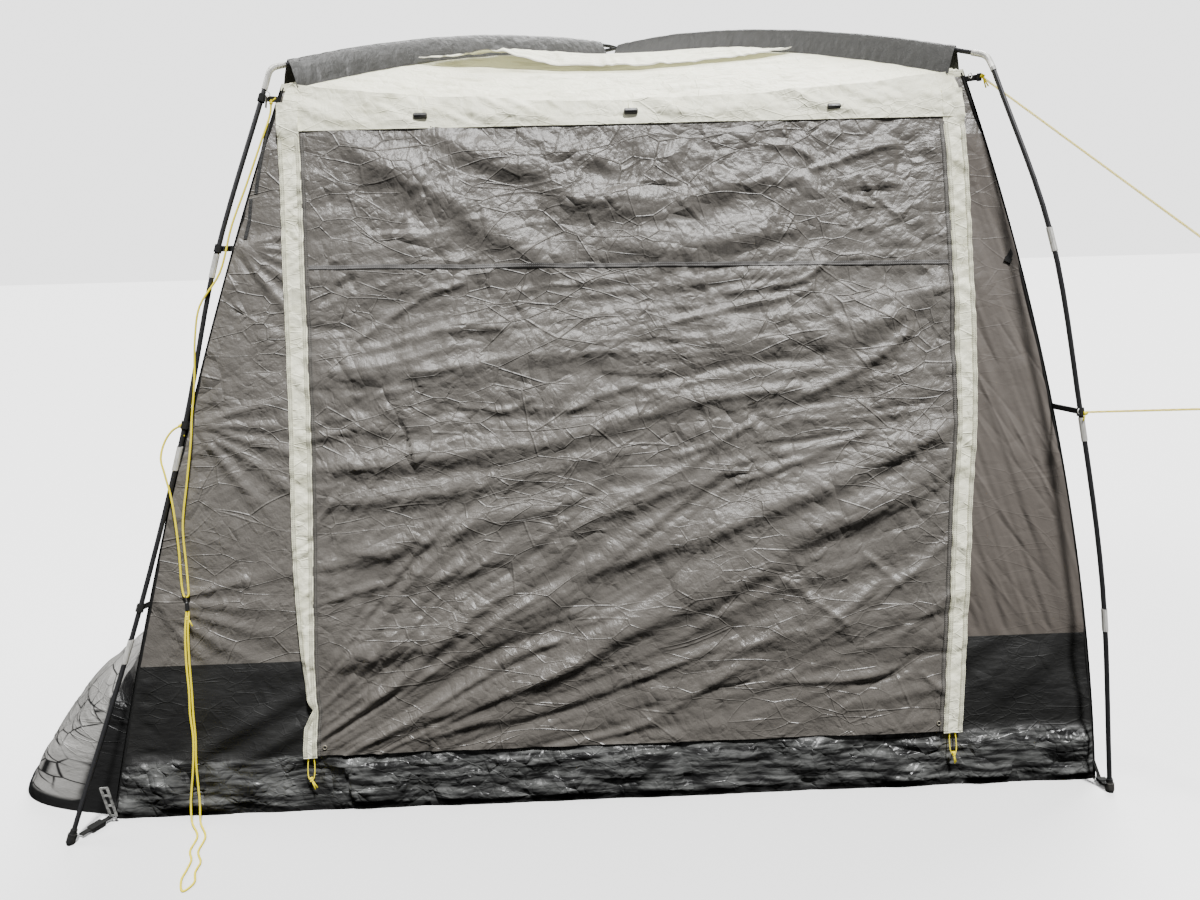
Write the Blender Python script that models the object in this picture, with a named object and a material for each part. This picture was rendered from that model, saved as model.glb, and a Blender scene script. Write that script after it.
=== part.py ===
"""Drive-away awning: a square frame tent on four outside legs, with a hanging front door flap.

Metres, +Z up. The front faces -Y, the vehicle side with its slack tunnel is -X.
The tent is laid out about the middle of its base, then moved so that the middle of the
whole object's footprint, right guy line included, lies at the origin.
"""
import math

import bmesh
import bpy
from mathutils import Vector

# The tent's body, about the middle of its base
EAVE_Z = 2.085          # height of the roof corners
BASE_LEFT = -1.462      # foot of the walls
BASE_RIGHT = 1.462
BASE_Y = 1.405
TOP_LEFT = -0.888       # roof corners: the guys pull the roof to the right
TOP_RIGHT = 1.104
TOP_Y = 0.985
BOW_LEFT = 0.030        # how far the walls bulge between eave and ground
BOW_RIGHT = 0.058
BOW_Y = 0.050
EAVE_SAG = 0.066        # droop of each roof edge between its corners
ROOF_Z = 2.310          # fabric under the crossing of the roof poles
ROOF_CURVE = 1.9        # power of the roof poles' arch
MUD_Z = 0.450           # top of the dark band round the foot of the walls
CLOTH = 0.003           # thickness of every sheet of fabric
GAP = 0.0004            # gap kept between pieces that touch
CORNER_IN = 0.004       # how far each wall stops short of a corner's edge
ORIGIN_SHIFT = Vector((-0.461, 0.628, 0.0))

TOP_MIDDLE = (TOP_LEFT + TOP_RIGHT) / 2
TOP_HALF = (TOP_RIGHT - TOP_LEFT) / 2

# The doorway and the flap over it
DOOR_LEFT, DOOR_RIGHT = -0.800, 0.990
DOOR_TOP, DOOR_SILL = 1.900, 0.215
FLAP_LEFT, FLAP_RIGHT = -0.905, 1.112
FLAP_NARROW = 0.060     # the flap's right edge comes in this much at the foot
BORDER_W = 0.052
BAND_NARROW = 0.030     # the band over the flap narrows this much at each end
HINGE_Z = 1.955
HINGE_GAP = 0.0002
FLAP_FOOT = 0.175
FLAP_OUT = 0.014        # how far the flap hangs in front of the wall
TOGGLE_XS = {"left": -0.490, "middle": 0.119, "right": 0.712}
TOGGLE_Z = 1.986

# Poles, seen as one jointed leg at each corner and two long roof poles
POLE_R = 0.0068
FERRULE_R = 0.0083
FERRULE_HALF = 0.033
ELBOW_R = 0.0085
POLE_OVER_ROOF = 0.055
LEG_LEFT = [(-0.932, -1.024, 2.068), (-1.079, -1.146, 1.600), (-1.187, -1.235, 1.138),
            (-1.329, -1.352, 0.633), (-1.521, -1.511, 0.040)]
LEG_RIGHT = [(1.166, -1.065, 2.070), (1.281, -1.237, 1.610), (1.357, -1.333, 1.120),
             (1.422, -1.417, 0.620), (1.467, -1.474, 0.040)]
FERRULES_LEFT = (1.580, 1.045, 0.515)
FERRULES_RIGHT = (1.593, 1.066, 0.522)

# Guys
ROPE_R = 0.0016
CLIP_ARM_W = 0.016
TAB_REACH = 0.045
GUY_RING = Vector((1.880, -1.825, 1.208))
GUY_PEG = Vector((2.800, -2.780, 0.0))

CORNERS = {
    "front_left": {"x": -1, "y": -1, "leg": LEG_LEFT, "ferrules": FERRULES_LEFT,
                   "clips": (2.045, 1.627, 1.138, 0.633), "tabs": (), "pole_end": 0.992, "bend": 1.025},
    "front_right": {"x": 1, "y": -1, "leg": LEG_RIGHT, "ferrules": FERRULES_RIGHT,
                    "clips": (1.115,), "tabs": (2.060, 1.580), "pole_end": 1.020, "bend": 1.052},
    "back_left": {"x": -1, "y": 1, "leg": LEG_LEFT, "ferrules": FERRULES_LEFT,
                  "clips": (2.045, 1.627, 1.138, 0.633), "tabs": (), "pole_end": 0.992, "bend": 1.025},
    "back_right": {"x": 1, "y": 1, "leg": LEG_RIGHT, "ferrules": FERRULES_RIGHT,
                   "clips": (2.045, 1.638, 1.115, 0.600), "tabs": (), "pole_end": 1.020, "bend": 1.052},
}

# Colour, roughness and metallic value of each kind of surface
SURFACES = {
    "grey_fabric": (0.165, 0.155, 0.145, 0.55, 0.0),
    "cream_fabric": (0.72, 0.72, 0.60, 0.60, 0.0),
    "black_fabric": (0.020, 0.020, 0.021, 0.50, 0.0),
    "sleeve_fabric": (0.115, 0.115, 0.108, 0.60, 0.0),
    "tunnel_fabric": (0.24, 0.235, 0.225, 0.50, 0.0),
    "webbing": (0.018, 0.018, 0.018, 0.80, 0.0),
    "pole": (0.012, 0.012, 0.013, 0.35, 0.0),
    "steel": (0.62, 0.61, 0.58, 0.30, 1.0),
    "foot_plastic": (0.020, 0.020, 0.020, 0.45, 0.0),
    "yellow_rope": (0.85, 0.75, 0.06, 0.70, 0.0),
}

made = {}


def clear_scene():
    for obj in list(bpy.data.objects):
        bpy.data.objects.remove(obj, do_unlink=True)


def material_for(name, kind):
    red, green, blue, roughness, metallic = SURFACES[kind]
    material = bpy.data.materials.new(name)
    material.use_nodes = True
    shader = material.node_tree.nodes["Principled BSDF"]
    shader.inputs["Base Color"].default_value = (red, green, blue, 1.0)
    shader.inputs["Roughness"].default_value = roughness
    shader.inputs["Metallic"].default_value = metallic
    material.diffuse_color = (red, green, blue, 1.0)
    return material


def body(name, points, faces, kind):
    """One closed mesh object, moved from the tent's own middle to the shared origin."""
    mesh = bpy.data.meshes.new(name)
    mesh.from_pydata([Vector(p) + ORIGIN_SHIFT for p in points], [], faces)
    triangles = bmesh.new()
    triangles.from_mesh(mesh)
    bmesh.ops.triangulate(triangles, faces=triangles.faces)
    triangles.to_mesh(mesh)
    triangles.free()
    mesh.materials.append(material_for(name, kind))
    obj = bpy.data.objects.new(name, mesh)
    bpy.context.collection.objects.link(obj)
    made[name] = obj
    return obj


def join(target, others, operation):
    """Join or cut a solid by others, which stay in the file as hidden guides."""
    for other in others:
        other.hide_render = True
        other.display_type = "WIRE"
        modifier = target.modifiers.new(other.name, "BOOLEAN")
        modifier.operation = operation
        modifier.solver = "EXACT"
        modifier.object = other


def span(low, high, count):
    return [low + (high - low) * i / (count - 1) for i in range(count)]


def slab(name, front, back, kind):
    """Close two equal grids of points, the outer and inner face of a sheet, to one body."""
    rows, cols = len(front), len(front[0])
    points = [p for row in front for p in row] + [p for row in back for p in row]
    half = rows * cols
    faces = []
    for i in range(rows - 1):
        for j in range(cols - 1):
            a, b = i * cols + j, i * cols + j + 1
            c, d = b + cols, a + cols
            faces.append((a, b, c, d))
            faces.append((half + d, half + c, half + b, half + a))
    rim = [(0, j) for j in range(cols)] + [(i, cols - 1) for i in range(1, rows)]
    rim += [(rows - 1, j) for j in range(cols - 2, -1, -1)] + [(i, 0) for i in range(rows - 2, 0, -1)]
    for k, (i, j) in enumerate(rim):
        m, n = rim[(k + 1) % len(rim)]
        a, b = i * cols + j, m * cols + n
        faces.append((b, a, half + a, half + b))
    return body(name, points, faces, kind)


def loft(name, rings, kind):
    """Close a run of equal rings of points with a flat cap at each end."""
    count = len(rings[0])
    points = [p for ring in rings for p in ring]
    faces = []
    for i in range(len(rings) - 1):
        for j in range(count):
            k = (j + 1) % count
            faces.append((i * count + j, i * count + k, (i + 1) * count + k, (i + 1) * count + j))
    faces.append(tuple(range(count - 1, -1, -1)))
    base = (len(rings) - 1) * count
    faces.append(tuple(base + j for j in range(count)))
    return body(name, points, faces, kind)


def tangents(path):
    last = len(path) - 1
    return [(path[min(i + 1, last)] - path[max(i - 1, 0)]).normalized() for i in range(last + 1)]


def tube(name, path, radii, kind, sides=10):
    """A round bar along a path; radii gives the radius at each of its points."""
    path = [Vector(p) for p in path]
    along = tangents(path)
    side = along[0].cross(Vector((0.31, 0.17, 0.93))).normalized()
    rings = []
    for centre, axis, radius in zip(path, along, radii):
        side = (side - axis * side.dot(axis)).normalized()
        other = axis.cross(side)
        turns = [math.tau * k / sides for k in range(sides)]
        rings.append([centre + radius * (side * math.cos(t) + other * math.sin(t)) for t in turns])
    return loft(name, rings, kind)


def strap(name, path, sizes, across, kind):
    """A flat bar along a path; sizes gives its width and thickness at each point."""
    rings = []
    for centre, axis, (width, thick) in zip(path, tangents(path), sizes):
        side = (across - axis * across.dot(axis)).normalized() * width / 2
        up = axis.cross(side).normalized() * thick / 2
        rings.append([centre + side + up, centre - side + up, centre - side - up, centre + side - up])
    return loft(name, rings, kind)


def smooth(points, steps):
    """Points on a centripetal Catmull-Rom curve through the given ones."""
    pts = [Vector(p) for p in points]
    pts = [2 * pts[0] - pts[1]] + pts + [2 * pts[-1] - pts[-2]]
    out = []
    for a, b, c, d in zip(pts, pts[1:], pts[2:], pts[3:]):
        before, here, after = [(q - p).length ** 0.5 for p, q in ((a, b), (b, c), (c, d))]
        start = here * ((b - a) / before - (c - a) / (before + here)) + (c - b)
        end = here * ((d - c) / after - (d - b) / (here + after)) + (c - b)
        for t in [k / steps for k in range(steps)]:
            cube, square = t ** 3, t * t
            out.append(b * (2 * cube - 3 * square + 1) + c * (3 * square - 2 * cube)
                       + start * (cube - 2 * square + t) + end * (cube - square))
    out.append(pts[-2])
    return out


def cord(name, route, steps):
    """A rope as a curve with a round bevel, its points read from a smooth curve."""
    curve = bpy.data.curves.new(name, "CURVE")
    curve.dimensions = "3D"
    curve.bevel_depth = ROPE_R
    curve.bevel_resolution = 2
    curve.use_fill_caps = True
    spline = curve.splines.new("POLY")
    places = smooth(route, steps)
    spline.points.add(len(places) - 1)
    for point, place in zip(spline.points, places):
        point.co = (*(place + ORIGIN_SHIFT), 1.0)
    curve.materials.append(material_for(name, "yellow_rope"))
    obj = bpy.data.objects.new(name, curve)
    bpy.context.collection.objects.link(obj)
    made[name] = obj


def bowed(z, base, top, bow):
    """Offset of a wall from the middle at height z: leaning in, with a slight bulge."""
    s = z / EAVE_Z
    return base + (top - base) * s + bow * 4 * s * (1 - s)


def left_x(z):
    return bowed(z, BASE_LEFT, TOP_LEFT, -BOW_LEFT)


def right_x(z):
    return bowed(z, BASE_RIGHT, TOP_RIGHT, BOW_RIGHT)


def wall_y(z):
    """Distance of the front and back walls from the middle, at height z."""
    return bowed(z, BASE_Y, TOP_Y, BOW_Y)


def corner_point(corner, z):
    x = right_x(z) if corner["x"] > 0 else left_x(z)
    return Vector((x, corner["y"] * wall_y(z), z))


def outward_from(corner):
    return Vector((corner["x"], corner["y"], 0)).normalized()


def seam_z(u):
    """Height of a roof edge, u running from -1 to 1 between its corners."""
    return EAVE_Z - EAVE_SAG * (1 - u * u)


def wall_top(x):
    """Top of the front or back wall, just under the drooping roof edge."""
    return seam_z(max(-1.0, min(1.0, (x - TOP_MIDDLE) / TOP_HALF))) - GAP


def across_wall(name, x_at, low, high, kind, cols=9, rows=13, y_sign=-1, out=0.0):
    """A sheet in the front or back wall; x_at(u, z) gives x for u from 0 to 1.

    It lies in the wall, or out in front of it by a distance or a function of x and z.
    """
    outer, inner = [], []
    for v in span(0, 1, rows):
        outer.append([])
        inner.append([])
        for u in span(0, 1, cols):
            z_top = high(x_at(u, EAVE_Z)) if callable(high) else high
            z = low + (z_top - low) * v
            x = x_at(u, z)
            y = wall_y(z) + (out(x, z) if callable(out) else out)
            outer[-1].append((x, y_sign * (y + CLOTH / 2), z))
            inner[-1].append((x, y_sign * (y - CLOTH / 2), z))
    if y_sign > 0:
        outer, inner = inner, outer
    return slab(name, outer, inner, kind)


def along_wall(name, x_of, sign, low, high_at, kind, cols=9, rows=13):
    """A sheet in the left or right wall; high_at(u) gives its top for u from -1 to 1."""
    outer, inner = [], []
    for v in span(0, 1, rows):
        outer.append([])
        inner.append([])
        for u in span(-1, 1, cols):
            z = low + (high_at(u) - low) * v
            x, y = x_of(z), u * (wall_y(z) - CORNER_IN)
            outer[-1].append((x + sign * CLOTH / 2, y, z))
            inner[-1].append((x - sign * CLOTH / 2, y, z))
    if sign < 0:
        outer, inner = inner, outer
    return slab(name, outer, inner, kind)


def full_width(u, z):
    left, right = left_x(z) + CORNER_IN, right_x(z) - CORNER_IN
    return left + (right - left) * u


def left_of_door(u, z):
    left = left_x(z) + CORNER_IN
    return left + (DOOR_LEFT - GAP / 2 - left) * u


def right_of_door(u, z):
    right = right_x(z) - CORNER_IN
    return DOOR_RIGHT + GAP / 2 + (right - DOOR_RIGHT - GAP / 2) * u


def in_doorway(u, z):
    return DOOR_LEFT + GAP / 2 + (DOOR_RIGHT - DOOR_LEFT - GAP) * u


def side_wall_top(u):
    return seam_z(u * (TOP_Y - 2 * CORNER_IN) / TOP_Y) - GAP


def mud_top(u):
    return MUD_Z


def build_walls():
    """Grey walls from the dark band up to the roof; the front is split round its doorway."""
    low = MUD_Z + GAP
    across_wall("front_wall_left", left_of_door, low, DOOR_TOP, "grey_fabric", cols=4)
    across_wall("front_wall_right", right_of_door, low, DOOR_TOP, "grey_fabric", cols=4)
    across_wall("front_wall_header", full_width, DOOR_TOP + GAP, wall_top, "grey_fabric", 17, 3)
    across_wall("back_wall", full_width, low, wall_top, "grey_fabric", 17, y_sign=1)
    along_wall("left_wall", left_x, -1, low, side_wall_top, "grey_fabric", cols=17)
    along_wall("right_wall", right_x, 1, low, side_wall_top, "grey_fabric", cols=17)


def build_mud_walls():
    """The dark band round the foot; across the doorway it stays as a low sill."""
    along_wall("left_mud_wall", left_x, -1, 0.0, mud_top, "black_fabric", rows=5)
    along_wall("right_mud_wall", right_x, 1, 0.0, mud_top, "black_fabric", rows=5)
    across_wall("back_mud_wall", full_width, 0.0, MUD_Z, "black_fabric", rows=5, y_sign=1)
    across_wall("front_mud_sill", in_doorway, 0.0, DOOR_SILL, "black_fabric", rows=3)
    across_wall("front_mud_left", left_of_door, 0.0, MUD_Z, "black_fabric", 4, 5)
    across_wall("front_mud_right", right_of_door, 0.0, MUD_Z, "black_fabric", 4, 5)


def ridge_z(s):
    """Height of the roof's crease under a pole, s from 0 at the crossing to 1 at a corner."""
    return ROOF_Z - (ROOF_Z - EAVE_Z) * abs(s) ** ROOF_CURVE


def roof_height(x, y):
    """Height of the roof fabric: creases under the poles, each edge drooping between them."""
    u, v = (x - TOP_MIDDLE) / TOP_HALF, y / TOP_Y
    s = max(abs(u), abs(v))
    across = min(abs(u), abs(v)) / s if s > 1e-6 else 1.0
    return ridge_z(s) - EAVE_SAG * s ** 1.4 * (1 - across * across)


def build_roof(cells=16):
    top, bottom = [], []
    for y in span(-TOP_Y, TOP_Y, cells + 1):
        xs = span(TOP_LEFT, TOP_RIGHT, cells + 1)
        top.append([(x, y, roof_height(x, y) + CLOTH) for x in xs])
        bottom.append([(x, y, roof_height(x, y)) for x in xs])
    slab("roof", top, bottom, "cream_fabric")


def build_vent_hood(rows=8, cols=13, lift=0.008, arch=0.042, sleeve_half=0.064):
    """The loose second layer over the front of the roof, its hem arched up at the left."""
    top, bottom = [], []
    for v in span(0, 1, rows):
        top.append([])
        bottom.append([])
        for u in span(-1, 1, cols):
            s = 0.16 + (0.71 - 0.07 * max(0.0, u) ** 2 - 0.16) * v
            x = TOP_MIDDLE + u * (s * TOP_HALF - sleeve_half)
            y = -s * TOP_Y
            rise = arch * max(0.0, 1 - abs(u + 0.55) / 0.4) ** 1.5 * v * v
            z = roof_height(x, y) + CLOTH + lift * v + GAP * 2 + rise
            top[-1].append((x, y, z + CLOTH))
            bottom[-1].append((x, y, z))
    slab("roof_vent_hood", bottom, top, "cream_fabric")


def pole_point(s, x_sign, y_sign, lift=POLE_OVER_ROOF):
    """A point over a crease of the roof, s from 0 at the crossing to 1 at the corner."""
    return Vector((TOP_MIDDLE + x_sign * s * TOP_HALF, y_sign * s * TOP_Y, ridge_z(s) + lift))


def crossing_lift(s, over, half=0.0072, reach=0.25):
    """How far a roof pole passes over (1) or under (-1) the middle of the crossing."""
    return over * half * max(0.0, 1 - abs(s) / reach)


def build_sleeves(low=0.0045, thick=0.003, half_width=0.040):
    """Fabric channels along the roof's diagonals, which hang on the roof poles in them."""
    profile = [(-1.0, 0.0), (-0.55, 0.55), (-0.25, 0.94), (0.0, 1.0), (0.25, 0.94), (0.55, 0.55), (1.0, 0.0)]
    for name, corner in CORNERS.items():
        places = span(0.035, 0.985, 13)
        stations = [pole_point(s, corner["x"], corner["y"], 0.0) for s in places]
        rings = []
        for s, centre, axis in zip(places, stations, tangents(stations)):
            across = axis.cross(Vector((0, 0, 1))).normalized()
            up = across.cross(axis)
            rise = POLE_OVER_ROOF + crossing_lift(s, corner["x"] * corner["y"]) + POLE_R + 0.0010 - low
            inside = [(x * (half_width - thick), low + rise * t) for x, t in reversed(profile)]
            outside = [(x * half_width, low + (rise + thick) * t) for x, t in profile]
            rings.append([centre + across * a + up * b for a, b in outside + inside])
        loft("pole_sleeve_" + name, rings, "sleeve_fabric")


def build_roof_poles():
    """Two long poles in the sleeves, one passing over the other at the middle."""
    for name, x_sign, over in (("over", 1, 1), ("under", -1, -1)):
        front = CORNERS["front_left" if x_sign > 0 else "front_right"]["pole_end"]
        back = CORNERS["back_right" if x_sign > 0 else "back_left"]["pole_end"]
        path = []
        for s in span(-front, 0, 14) + span(0, back, 14)[1:]:
            lift = POLE_OVER_ROOF + crossing_lift(s, over)
            path.append(pole_point(abs(s), x_sign if s >= 0 else -x_sign, 1 if s >= 0 else -1, lift))
        tube("roof_pole_" + name, path, [POLE_R] * len(path), "pole")


def leg_path(corner):
    flip = -corner["y"]
    return smooth([(x, y * flip, z) for x, y, z in corner["leg"]], 6)


def at_height(path, z):
    if z > path[0].z:
        return path[0]
    for a, b in zip(path, path[1:]):
        if a.z >= z >= b.z:
            return a.lerp(b, (a.z - z) / (a.z - b.z))
    return path[-1]


def build_leg(name, corner, step=0.0004):
    """Three-jointed rod whose steel ferrules stand a little proud."""
    path = leg_path(corner)
    marks = []
    for middle in corner["ferrules"]:
        high, low = middle + FERRULE_HALF, middle - FERRULE_HALF
        for z, radius in ((high + step, POLE_R), (high, FERRULE_R), (low, FERRULE_R), (low - step, POLE_R)):
            marks.append((at_height(path, z), radius))
    for point in path:
        if all(abs(point.z - middle) > FERRULE_HALF + 0.012 for middle in corner["ferrules"]):
            marks.append((point, POLE_R))
    marks.sort(key=lambda mark: -mark[0].z)
    tube("leg_pole_" + name, [m[0] for m in marks], [m[1] for m in marks], "pole")


def build_elbow(name, corner, trim=0.02, gap=0.0007):
    """The bent steel tube between a roof pole's end and the top of its leg."""
    start = pole_point(corner["pole_end"], corner["x"], corner["y"])
    bend = pole_point(corner["bend"], corner["x"], corner["y"])
    top, below = leg_path(corner)[:2]
    down = (below - top).normalized()
    first, second = (bend - start).normalized(), (top - bend).normalized()
    before, after = bend - first * trim, bend + second * trim
    arc = [before.lerp(bend, t).lerp(bend.lerp(after, t), t) for t in span(0, 1, 6)]
    path = [start + first * gap] + arc + [top - down * (0.010 + gap), top - down * gap]
    tube("pole_elbow_" + name, path, [ELBOW_R] * len(path), "steel")


def build_foot(name, corner):
    path = leg_path(corner)
    axis = (path[-1] - path[-2]).normalized()
    start = path[-1] + axis * GAP
    end = start + axis * ((0.007 - start.z) / axis.z)
    ground = Vector((end.x, end.y, 0.0))
    stations = [start, start + axis * 0.012, start + axis * 0.0125, end, ground]
    tube("pole_foot_" + name, stations, [0.0095, 0.0095, 0.0125, 0.0125, 0.0110], "foot_plastic", 14)


def build_corner_tape(name, corner, width=0.014, thick=0.0024):
    """Webbing down a corner seam, with the clips that hold the tent to its leg."""
    outward = outward_from(corner)
    across = Vector((-outward.y, outward.x, 0))
    off_wall = outward * (-0.0009 + thick / 2)
    path = [corner_point(corner, z) + off_wall for z in span(2.079, 0.060, 23)]
    tape = strap("corner_tape_" + name, path, [(width, thick)] * len(path), across, "webbing")
    leg = leg_path(corner)
    added, holes = [], []
    up = Vector((0, 0, 1))
    for k, z in enumerate(corner["clips"]):
        seam, pole = corner_point(corner, z) + off_wall, at_height(leg, z)
        along = (at_height(leg, z - 0.03) - at_height(leg, z + 0.03)).normalized()
        label = "clip_%s_%d" % (name, k)
        sizes = [(CLIP_ARM_W, thick)] * 2
        added.append(strap(label + "_arm", [seam, pole], sizes, up, "webbing"))
        added.append(tube(label + "_ring", [pole - along * 0.011, pole + along * 0.011],
                          [POLE_R + 0.0038] * 2, "webbing", 12))
        holes.append(tube(label + "_hole", [pole - along * 0.020, pole + along * 0.020],
                          [POLE_R + 0.0006] * 2, "webbing", 16))
    for k, z in enumerate(corner["tabs"]):
        seam = corner_point(corner, z) + off_wall
        label = "tab_%s_%d" % (name, k)
        tip = seam + outward * TAB_REACH
        added.append(strap(label + "_arm", [seam, tip], [(CLIP_ARM_W, thick)] * 2, up, "webbing"))
        added.append(strap(label + "_hook", [tip - outward * 0.007, tip + outward * 0.005],
                           [(0.021, 0.009)] * 2, up, "webbing"))
    join(tape, added, "UNION")
    join(tape, holes, "DIFFERENCE")


def build_foot_strap(name, corner):
    """Short strap with a buckle that ties the foot of a corner seam to the pole's foot."""
    outward = outward_from(corner)
    across = Vector((-outward.y, outward.x, 0))
    foot = leg_path(corner)[-1]
    seam = corner_point(corner, 0.0595)
    low = corner_point(corner, 0.022) + outward * 0.012
    reach = (foot - low)
    reach.z = 0.0
    flat = reach.normalized()
    end = Vector((foot.x, foot.y, 0.012)) - flat * (0.0125 + GAP * 6)
    start = Vector((low.x, low.y, 0.012)) + flat * 0.008
    buckle = [start.lerp(end, t) for t in (0.0, 0.25, 0.27, 0.70, 0.72, 1.0)]
    path = [seam, low] + buckle
    slim, wide = (0.018, 0.0024), (0.026, 0.010)
    sizes = [slim, slim, slim, slim, wide, wide, slim, slim]
    strap("foot_strap_" + name, path, sizes, across, "webbing")


def build_poles():
    build_roof_poles()
    for name, corner in CORNERS.items():
        build_leg(name, corner)
        build_elbow(name, corner)
        build_foot(name, corner)
        build_corner_tape(name, corner)
        build_foot_strap(name, corner)


def flap_y(z):
    """Distance of the door flap from the middle, in front of the front wall."""
    return wall_y(z) + FLAP_OUT


def flap_right(z):
    s = (HINGE_Z - z) / (HINGE_Z - FLAP_FOOT)
    return FLAP_RIGHT - FLAP_NARROW * s ** 3


def door_band_x(u, z):
    t = (z - HINGE_Z) / (EAVE_Z - HINGE_Z)
    left, right = FLAP_LEFT + BAND_NARROW * t, FLAP_RIGHT - BAND_NARROW * t
    return left + (right - left) * u


def door_panel_x(u, z):
    left = FLAP_LEFT + BORDER_W + GAP
    return left + (flap_right(z) - BORDER_W - GAP - left) * u


def left_border_x(u, z):
    return FLAP_LEFT + BORDER_W * u


def right_border_x(u, z):
    return flap_right(z) - BORDER_W * (1 - u)


def band_top(x):
    return wall_top(x) - 0.004


def band_out(x, z):
    """The band stands out at its foot and is sewn to the wall along its top."""
    t = (z - HINGE_Z) / (band_top(x) - HINGE_Z)
    return FLAP_OUT + (CLOTH + GAP - FLAP_OUT) * max(0.0, 2 * t - 1)


def build_door():
    """The fixed cream band, and the flap that hangs from its foot."""
    across_wall("door_band", door_band_x, HINGE_Z + HINGE_GAP, band_top, "cream_fabric", 17, 3,
                out=band_out)
    top = HINGE_Z - HINGE_GAP
    across_wall("door_panel", door_panel_x, FLAP_FOOT, top, "grey_fabric", 13, 13, out=FLAP_OUT)
    foot = FLAP_FOOT - 0.006
    across_wall("door_border_left", left_border_x, foot, top, "cream_fabric", 3, 13, out=FLAP_OUT)
    across_wall("door_border_right", right_border_x, foot, top, "cream_fabric", 3, 13, out=FLAP_OUT)
    for name, x in (("left", FLAP_LEFT + 0.030), ("right", flap_right(FLAP_FOOT) - 0.030)):
        hem = Vector((x, -flap_y(foot), foot - 2 * GAP))
        drops = [(-0.008, 0.000), (-0.010, 0.030), (-0.007, 0.060), (0.0, 0.066),
                 (0.007, 0.060), (0.010, 0.030), (0.008, 0.000)]
        path = smooth([hem + Vector((dx, -0.30 * drop, -0.95 * drop)) for dx, drop in drops], 3)
        tube("peg_loop_" + name, path, [ROPE_R] * len(path), "yellow_rope", 6)


def build_toggles():
    """Toggles on short tapes that hold the flap when it is rolled up."""
    for name, x in TOGGLE_XS.items():
        y = -flap_y(TOGGLE_Z) - CLOTH / 2 - 0.0095
        path = [Vector((x + dx, y, TOGGLE_Z)) for dx in (-0.020, -0.017, 0.017, 0.020)]
        tube("toggle_" + name, path, [0.006, 0.009, 0.009, 0.006], "foot_plastic")


def build_tunnel(cols=15, clear=0.0009):
    """The slack vehicle tunnel: sewn round the left wall, its foot heaped on the ground."""
    drop = [(0.000, 1.960), (0.075, 1.780), (0.125, 1.570), (0.155, 1.310), (0.150, 1.060),
            (0.170, 0.870), (0.200, 0.700), (0.245, 0.520), (0.300, 0.330), (0.340, 0.200),
            (0.385, 0.120), (0.412, 0.060), (0.418, 0.0015)]
    outer, inner = [], []
    for out, z in drop:
        power = 5 + 4 * (1 - z / EAVE_Z)
        ys = [u * (wall_y(z) - 0.012) for u in span(-1, 1, cols)]
        bulge = [clear + CLOTH / 2 + out * (1 - abs(u) ** power) for u in span(-1, 1, cols)]
        xs = [left_x(z) - CLOTH / 2 - b for b in bulge]
        outer.append([(x - CLOTH / 2, y, z) for x, y in zip(xs, ys)])
        inner.append([(x + CLOTH / 2, y, z) for x, y in zip(xs, ys)])
    slab("tunnel", outer, inner, "tunnel_fabric")


def guy_runner(name, rope_bend, inward, rope_way, away, ring_r=0.008):
    """A steel ring that the rope's bend runs through, with the plastic slider tied to it."""
    inward, away = inward.normalized(), away.normalized()
    rope_way = (rope_way - inward * rope_way.dot(inward)).normalized()
    other = inward.cross(rope_way)
    centre = rope_bend - inward * (ring_r - 0.0034)
    turns = [math.tau * k / 16 for k in range(17)]
    ring = [centre + ring_r * (inward * math.cos(t) + other * math.sin(t)) for t in turns]
    held = centre + (away - rope_way * away.dot(rope_way)).normalized() * ring_r
    slider_path = [held + away * d for d in (-0.0008, 0.004, 0.026, 0.028)]
    slider = tube(name, slider_path, [0.0022, 0.0055, 0.0055, 0.0035], "foot_plastic")
    half_a = tube(name + "_ring_a", ring[:9], [0.0015] * 9, "steel", 8)
    half_b = tube(name + "_ring_b", [ring[7].lerp(ring[8], 0.5)] + ring[8:] + [ring[0].lerp(ring[1], 0.5)],
                  [0.0015] * 11, "steel", 8)
    join(slider, [half_a, half_b], "UNION")
    return held + away * 0.028


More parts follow.
